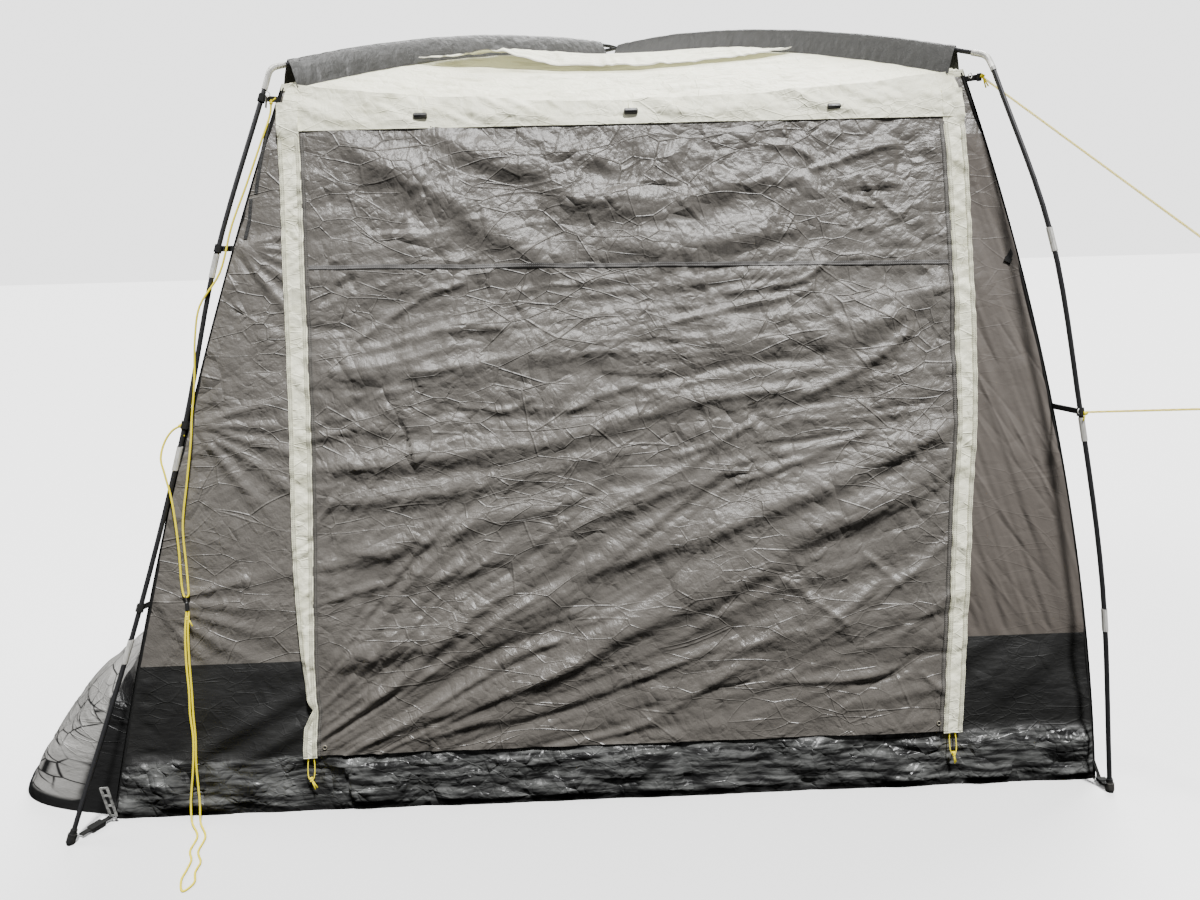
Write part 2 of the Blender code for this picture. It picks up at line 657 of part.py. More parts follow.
def build_left_guy():
    """The slack left guy: a rope from the top clip to the middle one, and its long loop."""
    rope = [(-0.9195, -1.0130, 2.0362), (-0.923, -1.019, 2.005), (-0.945, -1.050, 1.930),
            (-0.990, -1.092, 1.800),
            (-1.030, -1.128, 1.690), (-1.068, -1.158, 1.560), (-1.122, -1.192, 1.470),
            (-1.140, -1.204, 1.388), (-1.150, -1.228, 1.250), (-1.160, -1.248, 1.160),
            (-1.164, -1.262, 1.100), (-1.182, -1.280, 0.985), (-1.200, -1.304, 0.858),
            (-1.198, -1.320, 0.740), (-1.1945, -1.333, 0.690), (-1.1946, -1.337, 0.663),
            (-1.1967, -1.338, 0.6580), (-1.2018, -1.3385, 0.6560), (-1.2069, -1.338, 0.6580),
            (-1.2090, -1.337, 0.663), (-1.212, -1.334, 0.690), (-1.212, -1.322, 0.800),
            (-1.224, -1.300, 0.937),
            (-1.240, -1.286, 1.010), (-1.252, -1.270, 1.050), (-1.243, -1.250, 1.095),
            (-1.222, -1.241, 1.124), (-1.1991, -1.2367, 1.137)]
    cord("left_guy_rope", rope, 3)
    bend = Vector(rope[17])
    down = Vector((0.06, -0.20, -1.0))
    foot = guy_runner("left_guy_runner", bend, -down, Vector((1, 0, 0)), down)
    start = foot + Vector((-0.0030, -0.0002, -0.0012))
    loop = [start, (-1.207, -1.362, 0.560), (-1.209, -1.377, 0.471), (-1.206, -1.391, 0.386),
            (-1.207, -1.401, 0.321), (-1.203, -1.411, 0.252), (-1.208, -1.423, 0.171),
            (-1.222, -1.440, 0.055), (-1.216, -1.460, 0.012), (-1.180, -1.514, 0.0030),
            (-1.174, -1.580, 0.0026), (-1.155, -1.618, 0.0026), (-1.151, -1.655, 0.0026),
            (-1.148, -1.700, 0.0026), (-1.126, -1.742, 0.0026), (-1.110, -1.712, 0.0026),
            (-1.124, -1.668, 0.0026), (-1.126, -1.628, 0.0026), (-1.150, -1.584, 0.0026),
            (-1.156, -1.518, 0.0030), (-1.192, -1.460, 0.012), (-1.196, -1.440, 0.055),
            (-1.199, -1.423, 0.171), (-1.196, -1.411, 0.252), (-1.198, -1.401, 0.321),
            (-1.198, -1.391, 0.386), (-1.200, -1.377, 0.471), (-1.199, -1.362, 0.560),
            foot + Vector((0.0030, -0.0002, -0.0012))]
    cord("left_guy_loop", loop, 3)


def build_right_guy(bend_reach=0.012, strand_half=0.0030):
    """The taut right guy: a rope between two clips, and the line from its ring to a peg."""
    corner = CORNERS["front_right"]
    outward = outward_from(corner)
    tab = corner_point(corner, corner["tabs"][0]) + outward * (TAB_REACH + 0.007)
    clip = at_height(leg_path(corner), corner["clips"][0]) + outward * (POLE_R + 0.006)
    up, down = (tab - GUY_RING).normalized(), (clip - GUY_RING).normalized()
    before, after = GUY_RING + up * bend_reach, GUY_RING + down * bend_reach
    bend = [before.lerp(GUY_RING, t).lerp(GUY_RING.lerp(after, t), t) for t in span(0, 1, 7)]
    tube("right_guy_rope", [tab] + bend + [clip], [ROPE_R] * 9, "yellow_rope", 8)
    away = (GUY_PEG - GUY_RING).normalized()
    end = guy_runner("right_guy_runner", bend[3], up + down, up - down, away)
    side = away.cross(Vector((0, 0, 1))).normalized()
    head = GUY_PEG + Vector((0, 0, 0.030))
    onward = side.cross(Vector((0, 0, 1))) * -1
    hook = 0.0040 + ROPE_R + GAP
    turns = [math.pi * k / 8 for k in range(9)]
    loop = [head + hook * (side * math.cos(t) + onward * math.sin(t)) for t in turns]
    start = end + away * GAP
    path = [start + side * strand_half] + loop + [start - side * strand_half]
    tube("right_guy_line", path, [ROPE_R] * len(path), "yellow_rope", 8)
    peg = [GUY_PEG, GUY_PEG + Vector((0, 0, 0.036)), GUY_PEG + Vector((0, 0, 0.038)),
           GUY_PEG + Vector((0, 0, 0.044))]
    tube("right_guy_peg", peg, [0.0040, 0.0040, 0.0090, 0.0090], "steel")


def hang_on_hinge(names):
    """Give the moving pieces their origin on the hinge line, at the flap's outer top edge."""
    pivot = Vector((0.0, -flap_y(HINGE_Z) - CLOTH / 2, HINGE_Z)) + ORIGIN_SHIFT
    for name in names:
        obj = made[name]
        for vertex in obj.data.vertices:
            vertex.co -= pivot
        obj.location = pivot


def main():
    clear_scene()
    build_walls()
    build_mud_walls()
    build_roof()
    build_vent_hood()
    build_sleeves()
    build_poles()
    build_door()
    build_toggles()
    build_tunnel()
    build_left_guy()
    build_right_guy()
    hang_on_hinge(("door_panel", "door_border_left", "door_border_right",
                   "peg_loop_left", "peg_loop_right"))


main()
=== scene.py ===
"""The looks of a drive-away awning: creased cloth, webbing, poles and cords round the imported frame."""
import math

import bmesh
import bpy
import numpy as np
from mathutils import Matrix, Vector


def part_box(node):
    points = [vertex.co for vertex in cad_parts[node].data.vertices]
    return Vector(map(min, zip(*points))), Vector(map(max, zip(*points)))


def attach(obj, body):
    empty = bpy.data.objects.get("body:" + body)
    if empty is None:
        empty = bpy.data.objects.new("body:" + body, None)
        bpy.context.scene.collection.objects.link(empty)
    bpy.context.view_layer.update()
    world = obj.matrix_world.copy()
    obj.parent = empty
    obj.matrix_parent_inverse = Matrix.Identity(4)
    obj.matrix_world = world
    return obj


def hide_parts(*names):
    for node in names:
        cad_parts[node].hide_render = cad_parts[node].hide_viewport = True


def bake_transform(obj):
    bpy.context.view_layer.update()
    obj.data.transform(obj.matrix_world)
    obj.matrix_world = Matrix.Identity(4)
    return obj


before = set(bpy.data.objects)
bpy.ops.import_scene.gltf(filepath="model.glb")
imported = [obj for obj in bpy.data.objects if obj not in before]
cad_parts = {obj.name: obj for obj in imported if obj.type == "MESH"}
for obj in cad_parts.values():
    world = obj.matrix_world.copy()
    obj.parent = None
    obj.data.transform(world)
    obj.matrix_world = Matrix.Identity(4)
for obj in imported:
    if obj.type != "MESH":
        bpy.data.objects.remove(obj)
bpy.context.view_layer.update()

# The tent's own middle
# Sizes below are measured from the middle of the tent's base, as its maker would, and
# MIDDLE carries them into the frame.
left_foot, right_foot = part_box("left_mud_wall"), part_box("right_mud_wall")
MIDDLE = Vector(((left_foot[0].x + right_foot[1].x) / 2, (left_foot[0].y + left_foot[1].y) / 2, 0.0))

# Camera, floor and light
# The camera stands a little left of the middle at eye height, as the photographer did.
# The floor is plain and pale; four sun lamps model the creases, a strong key from above at the
# front right and weak fill, back and side lights, and the white sky only shows behind the tent.
EYE = Vector((-0.065, -3.798, 1.608))
YAW, PITCH, ROLL = math.radians(1.421), math.radians(-12.792), math.radians(-1.515)

camera = bpy.data.objects.new("camera", bpy.data.cameras.new("camera"))
bpy.context.scene.collection.objects.link(camera)
camera.data.sensor_width = 36.0
camera.data.lens = 27.0
ahead = Vector((math.sin(YAW) * math.cos(PITCH), math.cos(YAW) * math.cos(PITCH), math.sin(PITCH)))
level = Vector((math.cos(YAW), -math.sin(YAW), 0.0))
above = level.cross(ahead)
right = level * math.cos(ROLL) + above * math.sin(ROLL)
top = above * math.cos(ROLL) - level * math.sin(ROLL)
camera.matrix_world = Matrix.Translation(EYE + MIDDLE) @ Matrix((right, top, -ahead)).transposed().to_4x4()
bpy.context.scene.camera = camera


class Signal:
    """A socket in a material, so that shader maths reads as arithmetic."""

    def __init__(self, finish, socket):
        self.finish = finish
        self.socket = socket

    def math(self, operation, a, b):
        return self.finish.node("ShaderNodeMath", {"operation": operation}, {0: a, 1: b})

    def __add__(self, other):
        return self.math("ADD", self, other)

    def shifted(self, amount):
        """The same place, moved along, so that another pattern starts elsewhere."""
        return self.finish.node("ShaderNodeVectorMath", {"operation": "ADD"}, {0: self, 1: (amount, amount, 0.0)})

    def __radd__(self, other):
        return self.math("ADD", other, self)

    def __sub__(self, other):
        return self.math("SUBTRACT", self, other)

    def __rsub__(self, other):
        return self.math("SUBTRACT", other, self)

    def __mul__(self, other):
        return self.math("MULTIPLY", self, other)

    def __rmul__(self, other):
        return self.math("MULTIPLY", other, self)

    def __truediv__(self, other):
        return self.math("DIVIDE", self, other)

    def __pow__(self, other):
        return self.math("POWER", self, other)


class Finish:
    """A material whose nodes are made by one method."""

    def __init__(self, name):
        self.material = bpy.data.materials.new(name)
        self.material.use_nodes = True
        self.tree = self.material.node_tree
        self.shader = self.tree.nodes["Principled BSDF"]

    def node(self, kind, settings=None, inputs=None, output=0):
        made = self.tree.nodes.new(kind)
        for key, value in (settings or {}).items():
            if key == "stops":
                ramp = made.color_ramp
                for place in value[2:]:
                    ramp.elements.new(place[0])
                for element, (place, shade) in zip(ramp.elements, sorted(value)):
                    element.position = place
                    element.color = (shade, shade, shade, 1.0)
            else:
                setattr(made, key, value)
        self.feed(made, inputs or {})
        return Signal(self, made.outputs[output])

    def feed(self, made, inputs):
        for key, value in inputs.items():
            if isinstance(value, Signal):
                self.tree.links.new(value.socket, made.inputs[key])
            else:
                made.inputs[key].default_value = value

    def show(self, **sockets):
        """Set the surface's own sockets, such as Base_Color, to values or signals."""
        self.feed(self.shader, {key.replace("_", " "): value for key, value in sockets.items()})

    def place(self):
        return self.node("ShaderNodeTexCoord", output="Object")

    def cloth_place(self, scale=(1.0, 1.0, 1.0), turn=0.0):
        """Metres along and up the cloth, turned or stretched for a directed pattern."""
        flat = self.node("ShaderNodeUVMap", {"uv_map": "cloth"})
        return self.node("ShaderNodeMapping", {}, {0: flat, "Rotation": (0, 0, turn), "Scale": scale})

    def grain(self, where, scale, detail=2.0, roughness=0.5):
        return self.node("ShaderNodeTexNoise", {}, {"Vector": where, "Scale": scale, "Detail": detail,
                                                    "Roughness": roughness})

    def ramp(self, value, *stops):
        return self.node("ShaderNodeValToRGB", {"stops": stops}, {0: value})

    def tint(self, share, dark, light):
        """A colour between two, by a share from 0 to 1."""
        mix = self.tree.nodes.new("ShaderNodeMix")
        mix.data_type = "RGBA"
        self.feed(mix, {0: share, 6: (*dark, 1.0), 7: (*light, 1.0)})
        return Signal(self, mix.outputs[2])

    def blend(self, share, first, second):
        mix = self.tree.nodes.new("ShaderNodeMix")
        mix.data_type = "RGBA"
        self.feed(mix, {0: share, 6: first, 7: second})
        return Signal(self, mix.outputs[2])

    def bump(self, height, depth):
        """A normal from a height in metres' share of depth."""
        return self.node("ShaderNodeBump", {}, {"Height": height, "Strength": 1.0, "Distance": depth})


floor_finish = Finish("pale_floor")
floor_finish.show(Base_Color=(0.86, 0.86, 0.86, 1.0), Roughness=0.9)
sheet = bmesh.new()
bmesh.ops.create_grid(sheet, x_segments=1, y_segments=1, size=60.0)
floor = bpy.data.objects.new("floor", bpy.data.meshes.new("floor"))
sheet.to_mesh(floor.data)
sheet.free()
bpy.context.scene.collection.objects.link(floor)
floor.data.materials.append(floor_finish.material)

sky = bpy.data.worlds.new("studio")
sky.use_nodes = True
sky.node_tree.nodes["Background"].inputs["Color"].default_value = (1.0, 1.0, 1.0, 1.0)
sky.node_tree.nodes["Background"].inputs["Strength"].default_value = 2.6
sky.cycles_visibility.diffuse = False
sky.cycles_visibility.glossy = False
bpy.context.scene.world = sky
floor.visible_diffuse = False
floor.visible_glossy = False

LAMPS = {
    "key": {"from": (0.24, -0.42, 1.0), "power": 8.5, "spread": 7.0},
    "fill": {"from": (-0.6, -1.0, 0.5), "power": 0.32, "spread": 120.0},
    "back": {"from": (0.45, 1.0, 1.3), "power": 5.0, "spread": 30.0},
    "side": {"from": (-1.0, 0.22, 1.0), "power": 1.9, "spread": 30.0},
}
for name, lamp in LAMPS.items():
    light = bpy.data.lights.new(name, "SUN")
    light.energy = lamp["power"]
    light.angle = math.radians(lamp["spread"])
    holder = bpy.data.objects.new(name, light)
    bpy.context.scene.collection.objects.link(holder)
    holder.rotation_euler = (-Vector(lamp["from"])).to_track_quat("-Z", "Y").to_euler()


# Left guy
# A thin yellow braided cord hangs slack from the top clip to the middle one. Its bight runs
# through a small steel ring, whose slider holds a long doubled loop that trails on the ground.
ROPE_R = 0.0029
BIGHT = 17
LEFT_ROPE = [
    (-0.9195, -1.0130, 2.0362), (-0.923, -1.019, 2.005), (-0.945, -1.050, 1.930),
    (-0.990, -1.092, 1.800), (-1.030, -1.128, 1.690), (-1.068, -1.158, 1.560),
    (-1.122, -1.192, 1.470), (-1.140, -1.204, 1.388), (-1.150, -1.228, 1.250),
    (-1.160, -1.248, 1.160), (-1.164, -1.262, 1.100), (-1.182, -1.280, 0.985),
    (-1.200, -1.304, 0.858), (-1.198, -1.320, 0.740), (-1.1945, -1.333, 0.690),
    (-1.1946, -1.337, 0.663), (-1.1967, -1.338, 0.6580), (-1.2018, -1.3385, 0.6560),
    (-1.2069, -1.338, 0.6580), (-1.2090, -1.337, 0.663), (-1.212, -1.334, 0.690),
    (-1.212, -1.322, 0.800), (-1.224, -1.300, 0.937), (-1.240, -1.286, 1.010),
    (-1.252, -1.270, 1.050), (-1.243, -1.250, 1.095), (-1.222, -1.241, 1.124),
    (-1.1991, -1.2367, 1.137),
]
LEFT_LOOP = [
    (-1.2028, -1.3467, 0.6151), (-1.207, -1.362, 0.560), (-1.209, -1.377, 0.471),
    (-1.206, -1.391, 0.386), (-1.207, -1.401, 0.321), (-1.203, -1.411, 0.252),
    (-1.208, -1.423, 0.171), (-1.222, -1.440, 0.055), (-1.216, -1.460, 0.012),
    (-1.180, -1.514, 0.0037), (-1.174, -1.580, 0.0033), (-1.155, -1.618, 0.0033),
    (-1.151, -1.655, 0.0033), (-1.148, -1.700, 0.0033), (-1.126, -1.742, 0.0033),
    (-1.110, -1.712, 0.0033), (-1.124, -1.668, 0.0033), (-1.126, -1.628, 0.0033),
    (-1.150, -1.584, 0.0033), (-1.156, -1.518, 0.0037), (-1.192, -1.460, 0.012),
    (-1.196, -1.440, 0.055), (-1.199, -1.423, 0.171), (-1.196, -1.411, 0.252),
    (-1.198, -1.401, 0.321), (-1.198, -1.391, 0.386), (-1.200, -1.377, 0.471),
    (-1.199, -1.362, 0.560), (-1.1960, -1.3467, 0.6151),
]

rope_finish = Finish("yellow_cord")
strand = rope_finish.node("ShaderNodeTexWave", {"wave_type": "BANDS", "bands_direction": "DIAGONAL"},
                          {"Vector": rope_finish.place(), "Scale": 160.0, "Distortion": 1.5})
rope_shade = rope_finish.grain(rope_finish.place(), 60.0) * 0.6 + strand * 0.4
rope_colour = rope_finish.tint(rope_shade, (0.68, 0.54, 0.004), (0.93, 0.80, 0.020))
# The cord glows a little in its own colour: painted light that keeps its yellow bright.
rope_finish.show(Base_Color=rope_colour, Emission_Color=rope_colour, Emission_Strength=0.30, Roughness=0.7,
                 Normal=rope_finish.bump(strand, 0.0006))


def smooth_route(points, steps):
    """Points on a centripetal Catmull-Rom curve through the given ones."""
    pts = [Vector(p) for p in points]
    pts = [2 * pts[0] - pts[1]] + pts + [2 * pts[-1] - pts[-2]]
    out = []
    for a, b, c, d in zip(pts, pts[1:], pts[2:], pts[3:]):
        before, here, after = [(q - p).length ** 0.5 for p, q in ((a, b), (b, c), (c, d))]
        start = here * ((b - a) / before - (c - a) / (before + here)) + (c - b)
        end = here * ((d - c) / after - (d - b) / (here + after)) + (c - b)
        for t in [k / steps for k in range(steps)]:
            cube, square = t ** 3, t * t
            out.append(b * (2 * cube - 3 * square + 1) + c * (3 * square - 2 * cube)
                       + start * (cube - 2 * square + t) + end * (cube - square))
    out.append(pts[-2])
    return out


def cord_curve(name, places, radius, finish):
    """A round cord along its places, which are measured from the tent's middle."""
    curve = bpy.data.curves.new(name, "CURVE")
    curve.dimensions = "3D"
    curve.bevel_depth = radius
    curve.bevel_resolution = 3
    curve.use_fill_caps = True
    spline = curve.splines.new("POLY")
    spline.points.add(len(places) - 1)
    for point, place in zip(spline.points, places):
        point.co = (*(Vector(place) + MIDDLE), 1.0)
    curve.materials.append(finish.material)
    piece = bpy.data.objects.new(name, curve)
    bpy.context.scene.collection.objects.link(piece)
    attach(piece, "tent")
    return piece


def cord_length(places):
    return sum((b - a).length for a, b in zip(places, places[1:]))


for name, route in (("left_guy_rope", LEFT_ROPE), ("left_guy_loop", LEFT_LOOP)):
    places = smooth_route(route, 6)
    cord = cord_curve(name + "_cord", places, ROPE_R, rope_finish)
    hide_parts(name)
    tuple(places[0] + MIDDLE)
    round(cord_length(places), 3)


KNOT_R = 0.0024

def add_ring(made, middle, facing, radius, wire):
    """One round wire ring in a mesh under way."""
    start = len(made.verts)
    turn = Vector(facing).to_track_quat("Z", "Y").to_matrix().to_4x4()
    circle = bmesh.ops.create_circle(made, segments=8, radius=wire, matrix=Matrix.Translation((radius, 0, 0))
                                     @ Matrix.Rotation(math.pi / 2, 4, "X"))["verts"]
    edges = list({edge for vertex in circle for edge in vertex.link_edges})
    bmesh.ops.spin(made, geom=circle + edges, axis=(0, 0, 1), cent=(0, 0, 0), angle=math.tau, steps=28,
                   use_merge=True)
    made.verts.ensure_lookup_table()
    bmesh.ops.transform(made, verts=made.verts[start:],
                        matrix=Matrix.Translation(Vector(middle) + MIDDLE) @ turn)


def add_bar(made, start, end, thick, wide=None):
    """A bar between two places: round, or square where wide says how wide it is."""
    start, end = Vector(start) + MIDDLE, Vector(end) + MIDDLE
    turn = (end - start).to_track_quat("Z", "Y").to_matrix().to_4x4()
    middle = Matrix.Translation((start + end) / 2) @ turn
    if wide:
        size = Matrix.Diagonal((wide, thick, (end - start).length, 1.0))
        bmesh.ops.create_cube(made, size=1.0, matrix=middle @ size)
    else:
        bmesh.ops.create_cone(made, cap_ends=True, segments=10, radius1=thick, radius2=thick,
                              depth=(end - start).length, matrix=middle)


def small_part(name, made, finish, body):
    """A finished little part from the mesh under way."""
    bmesh.ops.recalc_face_normals(made, faces=made.faces)
    mesh = bpy.data.meshes.new(name)
    made.to_mesh(mesh)
    made.free()
    mesh.materials.append(finish.material)
    piece = bpy.data.objects.new(name, mesh)
    bpy.context.scene.collection.objects.link(piece)
    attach(piece, body)
    return piece


def knot(name, middle, along, tails, body="tent"):
    """Three turns of cord pulled tight about a direction, with short cut ends."""
    made = bmesh.new()
    way = Vector(along).normalized()
    for step, lean in ((-1, 0.18), (0, -0.2), (1, 0.12)):
        add_ring(made, Vector(middle) + way * step * KNOT_R * 1.5, way + Vector((lean, 0.0, lean / 2)),
                 KNOT_R * 1.25, KNOT_R)
    for tail in tails:
        add_bar(made, middle, Vector(middle) + Vector(tail), KNOT_R * 0.85)
    piece = small_part(name, made, rope_finish, body)
    piece.data.shade_smooth()


for name, place, along, tails in (
        ("left_guy_top_knot", LEFT_ROPE[0], (-0.1, -0.1, -1.0), ((0.016, -0.006, 0.010),)),
        ("left_guy_middle_knot", LEFT_ROPE[-1], (-1.0, -0.2, -0.5), ((0.010, -0.008, -0.030),)),
        ("left_guy_loop_knot", (-1.1994, -1.3515, 0.597), (0.06, -0.2, -1.0), ((0.014, -0.008, -0.022),))):
    knot(name, place, along, tails)


# Poles, elbows and feet
# Each leg is three black glass-fibre rods joined by bright steel ferrules. Bent steel elbows
# join them to the two roof poles, and moulded feet end them.
FERRULES = {"left": (1.580, 1.045, 0.515), "right": (1.593, 1.066, 0.522)}
FERRULE_HALF = 0.033


def steel_shade(finish, light=(0.80, 0.79, 0.75), dark=(0.52, 0.51, 0.47)):
    """Bare tube, a little dulled in streaks and spots."""
    streaks = finish.grain(finish.node("ShaderNodeMapping", {}, {0: finish.place(), "Scale": (60, 60, 9)}), 3.0)
    return finish.tint(finish.ramp(streaks, (0.30, 0.0), (0.62, 1.0)), dark, light)


def paint(node, finish):
    """Give a CAD node a finish."""
    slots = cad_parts[node].data.materials
    slots.clear()
    slots.append(finish.material)


for side, heights in FERRULES.items():
    rod = Finish("rod_" + side)
    z = rod.node("ShaderNodeSeparateXYZ", {}, {0: rod.place()}, output=2)
    on_ferrule = 0.0
    for height in heights:
        near = rod.node("ShaderNodeMath", {"operation": "ABSOLUTE"}, {0: z - height})
        inside = rod.node("ShaderNodeMath", {"operation": "LESS_THAN"}, {0: near, 1: FERRULE_HALF + 0.0003})
        on_ferrule = inside + on_ferrule
    scuffs = rod.grain(rod.place(), 240.0, detail=4.0)
    black = rod.tint(scuffs, (0.008, 0.008, 0.009), (0.030, 0.030, 0.032))
    rod.show(Base_Color=rod.blend(on_ferrule, black, steel_shade(rod)), Metallic=on_ferrule * 0.4,
             Roughness=0.34 + scuffs * 0.12)
    for end in ("front", "back"):
        paint("leg_pole_%s_%s" % (end, side), rod)

roof_rod = Finish("roof_rod")
roof_scuffs = roof_rod.grain(roof_rod.place(), 240.0, detail=4.0)
roof_rod.show(Base_Color=roof_rod.tint(roof_scuffs, (0.008, 0.008, 0.009), (0.030, 0.030, 0.032)),
              Roughness=0.34 + roof_scuffs * 0.12)
for node in ("roof_pole_over", "roof_pole_under"):
    paint(node, roof_rod)

elbow_steel = Finish("elbow_steel")
elbow_steel.show(Base_Color=steel_shade(elbow_steel), Metallic=0.4,
                 Roughness=0.24 + elbow_steel.grain(elbow_steel.place(), 90.0) * 0.22)
foot_mould = Finish("foot_mould")
mould_grain = foot_mould.grain(foot_mould.place(), 500.0, detail=3.0)
dust = foot_mould.ramp(foot_mould.grain(foot_mould.place(), 40.0), (0.45, 0.0), (0.75, 1.0))
foot_mould.show(Base_Color=foot_mould.tint(dust, (0.014, 0.014, 0.014), (0.075, 0.070, 0.062)),
                Roughness=0.42 + dust * 0.3, Normal=foot_mould.bump(mould_grain, 0.0003))
CORNERS = ("front_left", "front_right", "back_left", "back_right")
for corner in CORNERS:
    paint("pole_elbow_" + corner, elbow_steel)
    paint("pole_foot_" + corner, foot_mould)


# Grey walls
# Thin coated polyester, cut in trapezoids and stretched between the corner seams. It creases
# all over, in sharp little facets, and long pulls fan out from where the clips hold it.
EAVE_Z = 2.085
BASE_LEFT, BASE_RIGHT, BASE_Y = -1.462, 1.462, 1.405
TOP_LEFT, TOP_RIGHT, TOP_Y = -0.888, 1.104, 0.985
BOW_LEFT, BOW_RIGHT, BOW_Y = 0.030, 0.058, 0.050
EAVE_SAG = 0.066
MUD_Z = 0.450
DOOR_LEFT, DOOR_RIGHT, DOOR_TOP, DOOR_SILL = -0.800, 0.990, 1.900, 0.215
CORNER_IN, CORNER_OUT = 0.003, 0.0045
TOP_MIDDLE = (TOP_LEFT + TOP_RIGHT) / 2
TOP_HALF = (TOP_RIGHT - TOP_LEFT) / 2
FACE = 0.0015           # the cloth lies on the outer face of its solid
STITCH_DARK = (0.075, 0.070, 0.066)


def bowed(z, base, top_of_it, bow):
    s = z / EAVE_Z
    return base + (top_of_it - base) * s + bow * 4 * s * (1 - s)


def left_x(z):
    return bowed(z, BASE_LEFT, TOP_LEFT, -BOW_LEFT)


def right_x(z):
    return bowed(z, BASE_RIGHT, TOP_RIGHT, BOW_RIGHT)


def wall_y(z):
    return bowed(z, BASE_Y, TOP_Y, BOW_Y)


def seam_z(u):
    return EAVE_Z - EAVE_SAG * (1 - np.clip(u, -1, 1) ** 2)


def waves(x, y, seed):
    """Smooth noise between about -1 and 1, one hump for each unit of x and y."""
    table = np.random.default_rng(seed).uniform(-1, 1, (64, 64))
    i, j = np.floor(x).astype(int), np.floor(y).astype(int)
    fx, fy = x - i, y - j
    fx, fy = fx * fx * (3 - 2 * fx), fy * fy * (3 - 2 * fy)
    near = table[i % 64, j % 64] * (1 - fx) + table[(i + 1) % 64, j % 64] * fx
    far = table[i % 64, (j + 1) % 64] * (1 - fx) + table[(i + 1) % 64, (j + 1) % 64] * fx
    return near * (1 - fy) + far * fy


def facets(x, y, size, seed, tilt=0.9, dome=0.45):
    """Flat plates that meet in sharp creases, as crumpled cloth keeps; about size high at most."""
    rng = np.random.default_rng(seed)
    shift, lean = rng.uniform(0, 1, (2, 64, 64)), rng.uniform(-tilt, tilt, (2, 64, 64))
    x, y = x / size, y / size
    i, j = np.floor(x).astype(int), np.floor(y).astype(int)
    best = np.full(x.shape, -9.0)
    for di in (-1, 0, 1):
        for dj in (-1, 0, 1):
            m, n = (i + di) % 64, (j + dj) % 64
            dx, dy = x - (i + di) - shift[0][m, n], y - (j + dj) - shift[1][m, n]
            plate = lean[0][m, n] * dx + lean[1][m, n] * dy - dome * (dx * dx + dy * dy)
            best = np.maximum(best, plate)
    return best * size


def crease_lines(x, y, area, count, seed, length, width, height, heading=0.0, spread=3.2):
    """Straight pressed-in creases of random place and heading over an area (x0, x1, y0, y1)."""
    rng = np.random.default_rng(seed)
    total = np.zeros(x.shape)
    for k in range(count):
        cx, cy = rng.uniform(area[0], area[1]), rng.uniform(area[2], area[3])
        turn = heading + rng.uniform(-spread, spread) / 2
        half = length * rng.uniform(0.35, 1.0) / 2
        size = height * rng.uniform(0.4, 1.0) * rng.choice((-1, 1))
        along = (x - cx) * math.cos(turn) + (y - cy) * math.sin(turn)
        across = (y - cy) * math.cos(turn) - (x - cx) * math.sin(turn)
        near = (np.abs(along) < half * 1.6) & (np.abs(across) < width * 5)
        total[near] += size * np.exp(-(along[near] / half) ** 4) * np.exp(-np.abs(across[near]) / width)
    return total


def pulls(x, y, point, headings, reach, width, height):
    """Ridges that fan out from a point where the cloth is held."""
    dx, dy = x - point[0], y - point[1]
    far = np.hypot(dx, dy)
    total = np.zeros(x.shape)
    for heading in headings:
        off = (np.arctan2(dy, dx) - math.radians(heading) + math.pi) % math.tau - math.pi
        aside = far * np.sin(np.clip(off, -1.5, 1.5))
        ridge = np.exp(-(aside / (width * (0.4 + far / reach))) ** 2)
        total += ridge * np.exp(-(far / reach) ** 2) * np.minimum(1, far / (0.25 * reach))
    return total * height


def make_cloth(name, segments, place, relief, finish):
    """A grid turned into cloth: place gives metres on the cloth, its smooth surface and, where
    its pattern runs otherwise, that; relief is how far each point stands out of the surface."""
    grid = bmesh.new()
    bmesh.ops.create_grid(grid, x_segments=segments[0], y_segments=segments[1], size=0.5)
    grid.loops.layers.uv.new("cloth")
    mesh = bpy.data.meshes.new(name)
    grid.to_mesh(mesh)
    grid.free()
    flat = np.empty(len(mesh.vertices) * 3)
    mesh.vertices.foreach_get("co", flat)
    u, v = flat[0::3] + 0.5, flat[1::3] + 0.5
    step = 0.002
    metres, surface, *pattern = place(u, v)
    along = place(u + step, v)[1] - place(u - step, v)[1]
    up = place(u, v + step)[1] - place(u, v - step)[1]
    outward = np.cross(along, up)
    outward /= np.linalg.norm(outward, axis=1)[:, None]
    surface = surface + outward * relief(*metres)[:, None] + np.array(MIDDLE)
    mesh.vertices.foreach_set("co", surface.ravel())
    corner = np.empty(len(mesh.loops), dtype=int)
    mesh.loops.foreach_get("vertex_index", corner)
    pattern = columns(*(pattern[0] if pattern else metres))
    mesh.uv_layers["cloth"].data.foreach_set("uv", pattern[corner].ravel())
    mesh.shade_smooth()
    mesh.materials.append(finish.material)
    piece = bpy.data.objects.new(name, mesh)
    bpy.context.scene.collection.objects.link(piece)
    return piece


def columns(*parts):
    return np.stack(np.broadcast_arrays(*parts), axis=1).astype(float)


# Long pressed-in creases: cells for each metre, stretch, heading, width, depth, patches for each metre
CREASES = ((5.0, 2.4, 0.45, 0.020, 0.9, 3.0), (9.0, 2.0, -0.6, 0.030, 0.7, 5.0))
# Short straight creases: cells for each metre, steepness, patches for each metre
STROKES = ((9.0, 120.0, 3.0), (19.0, 130.0, 5.0), (43.0, 95.0, 9.0))


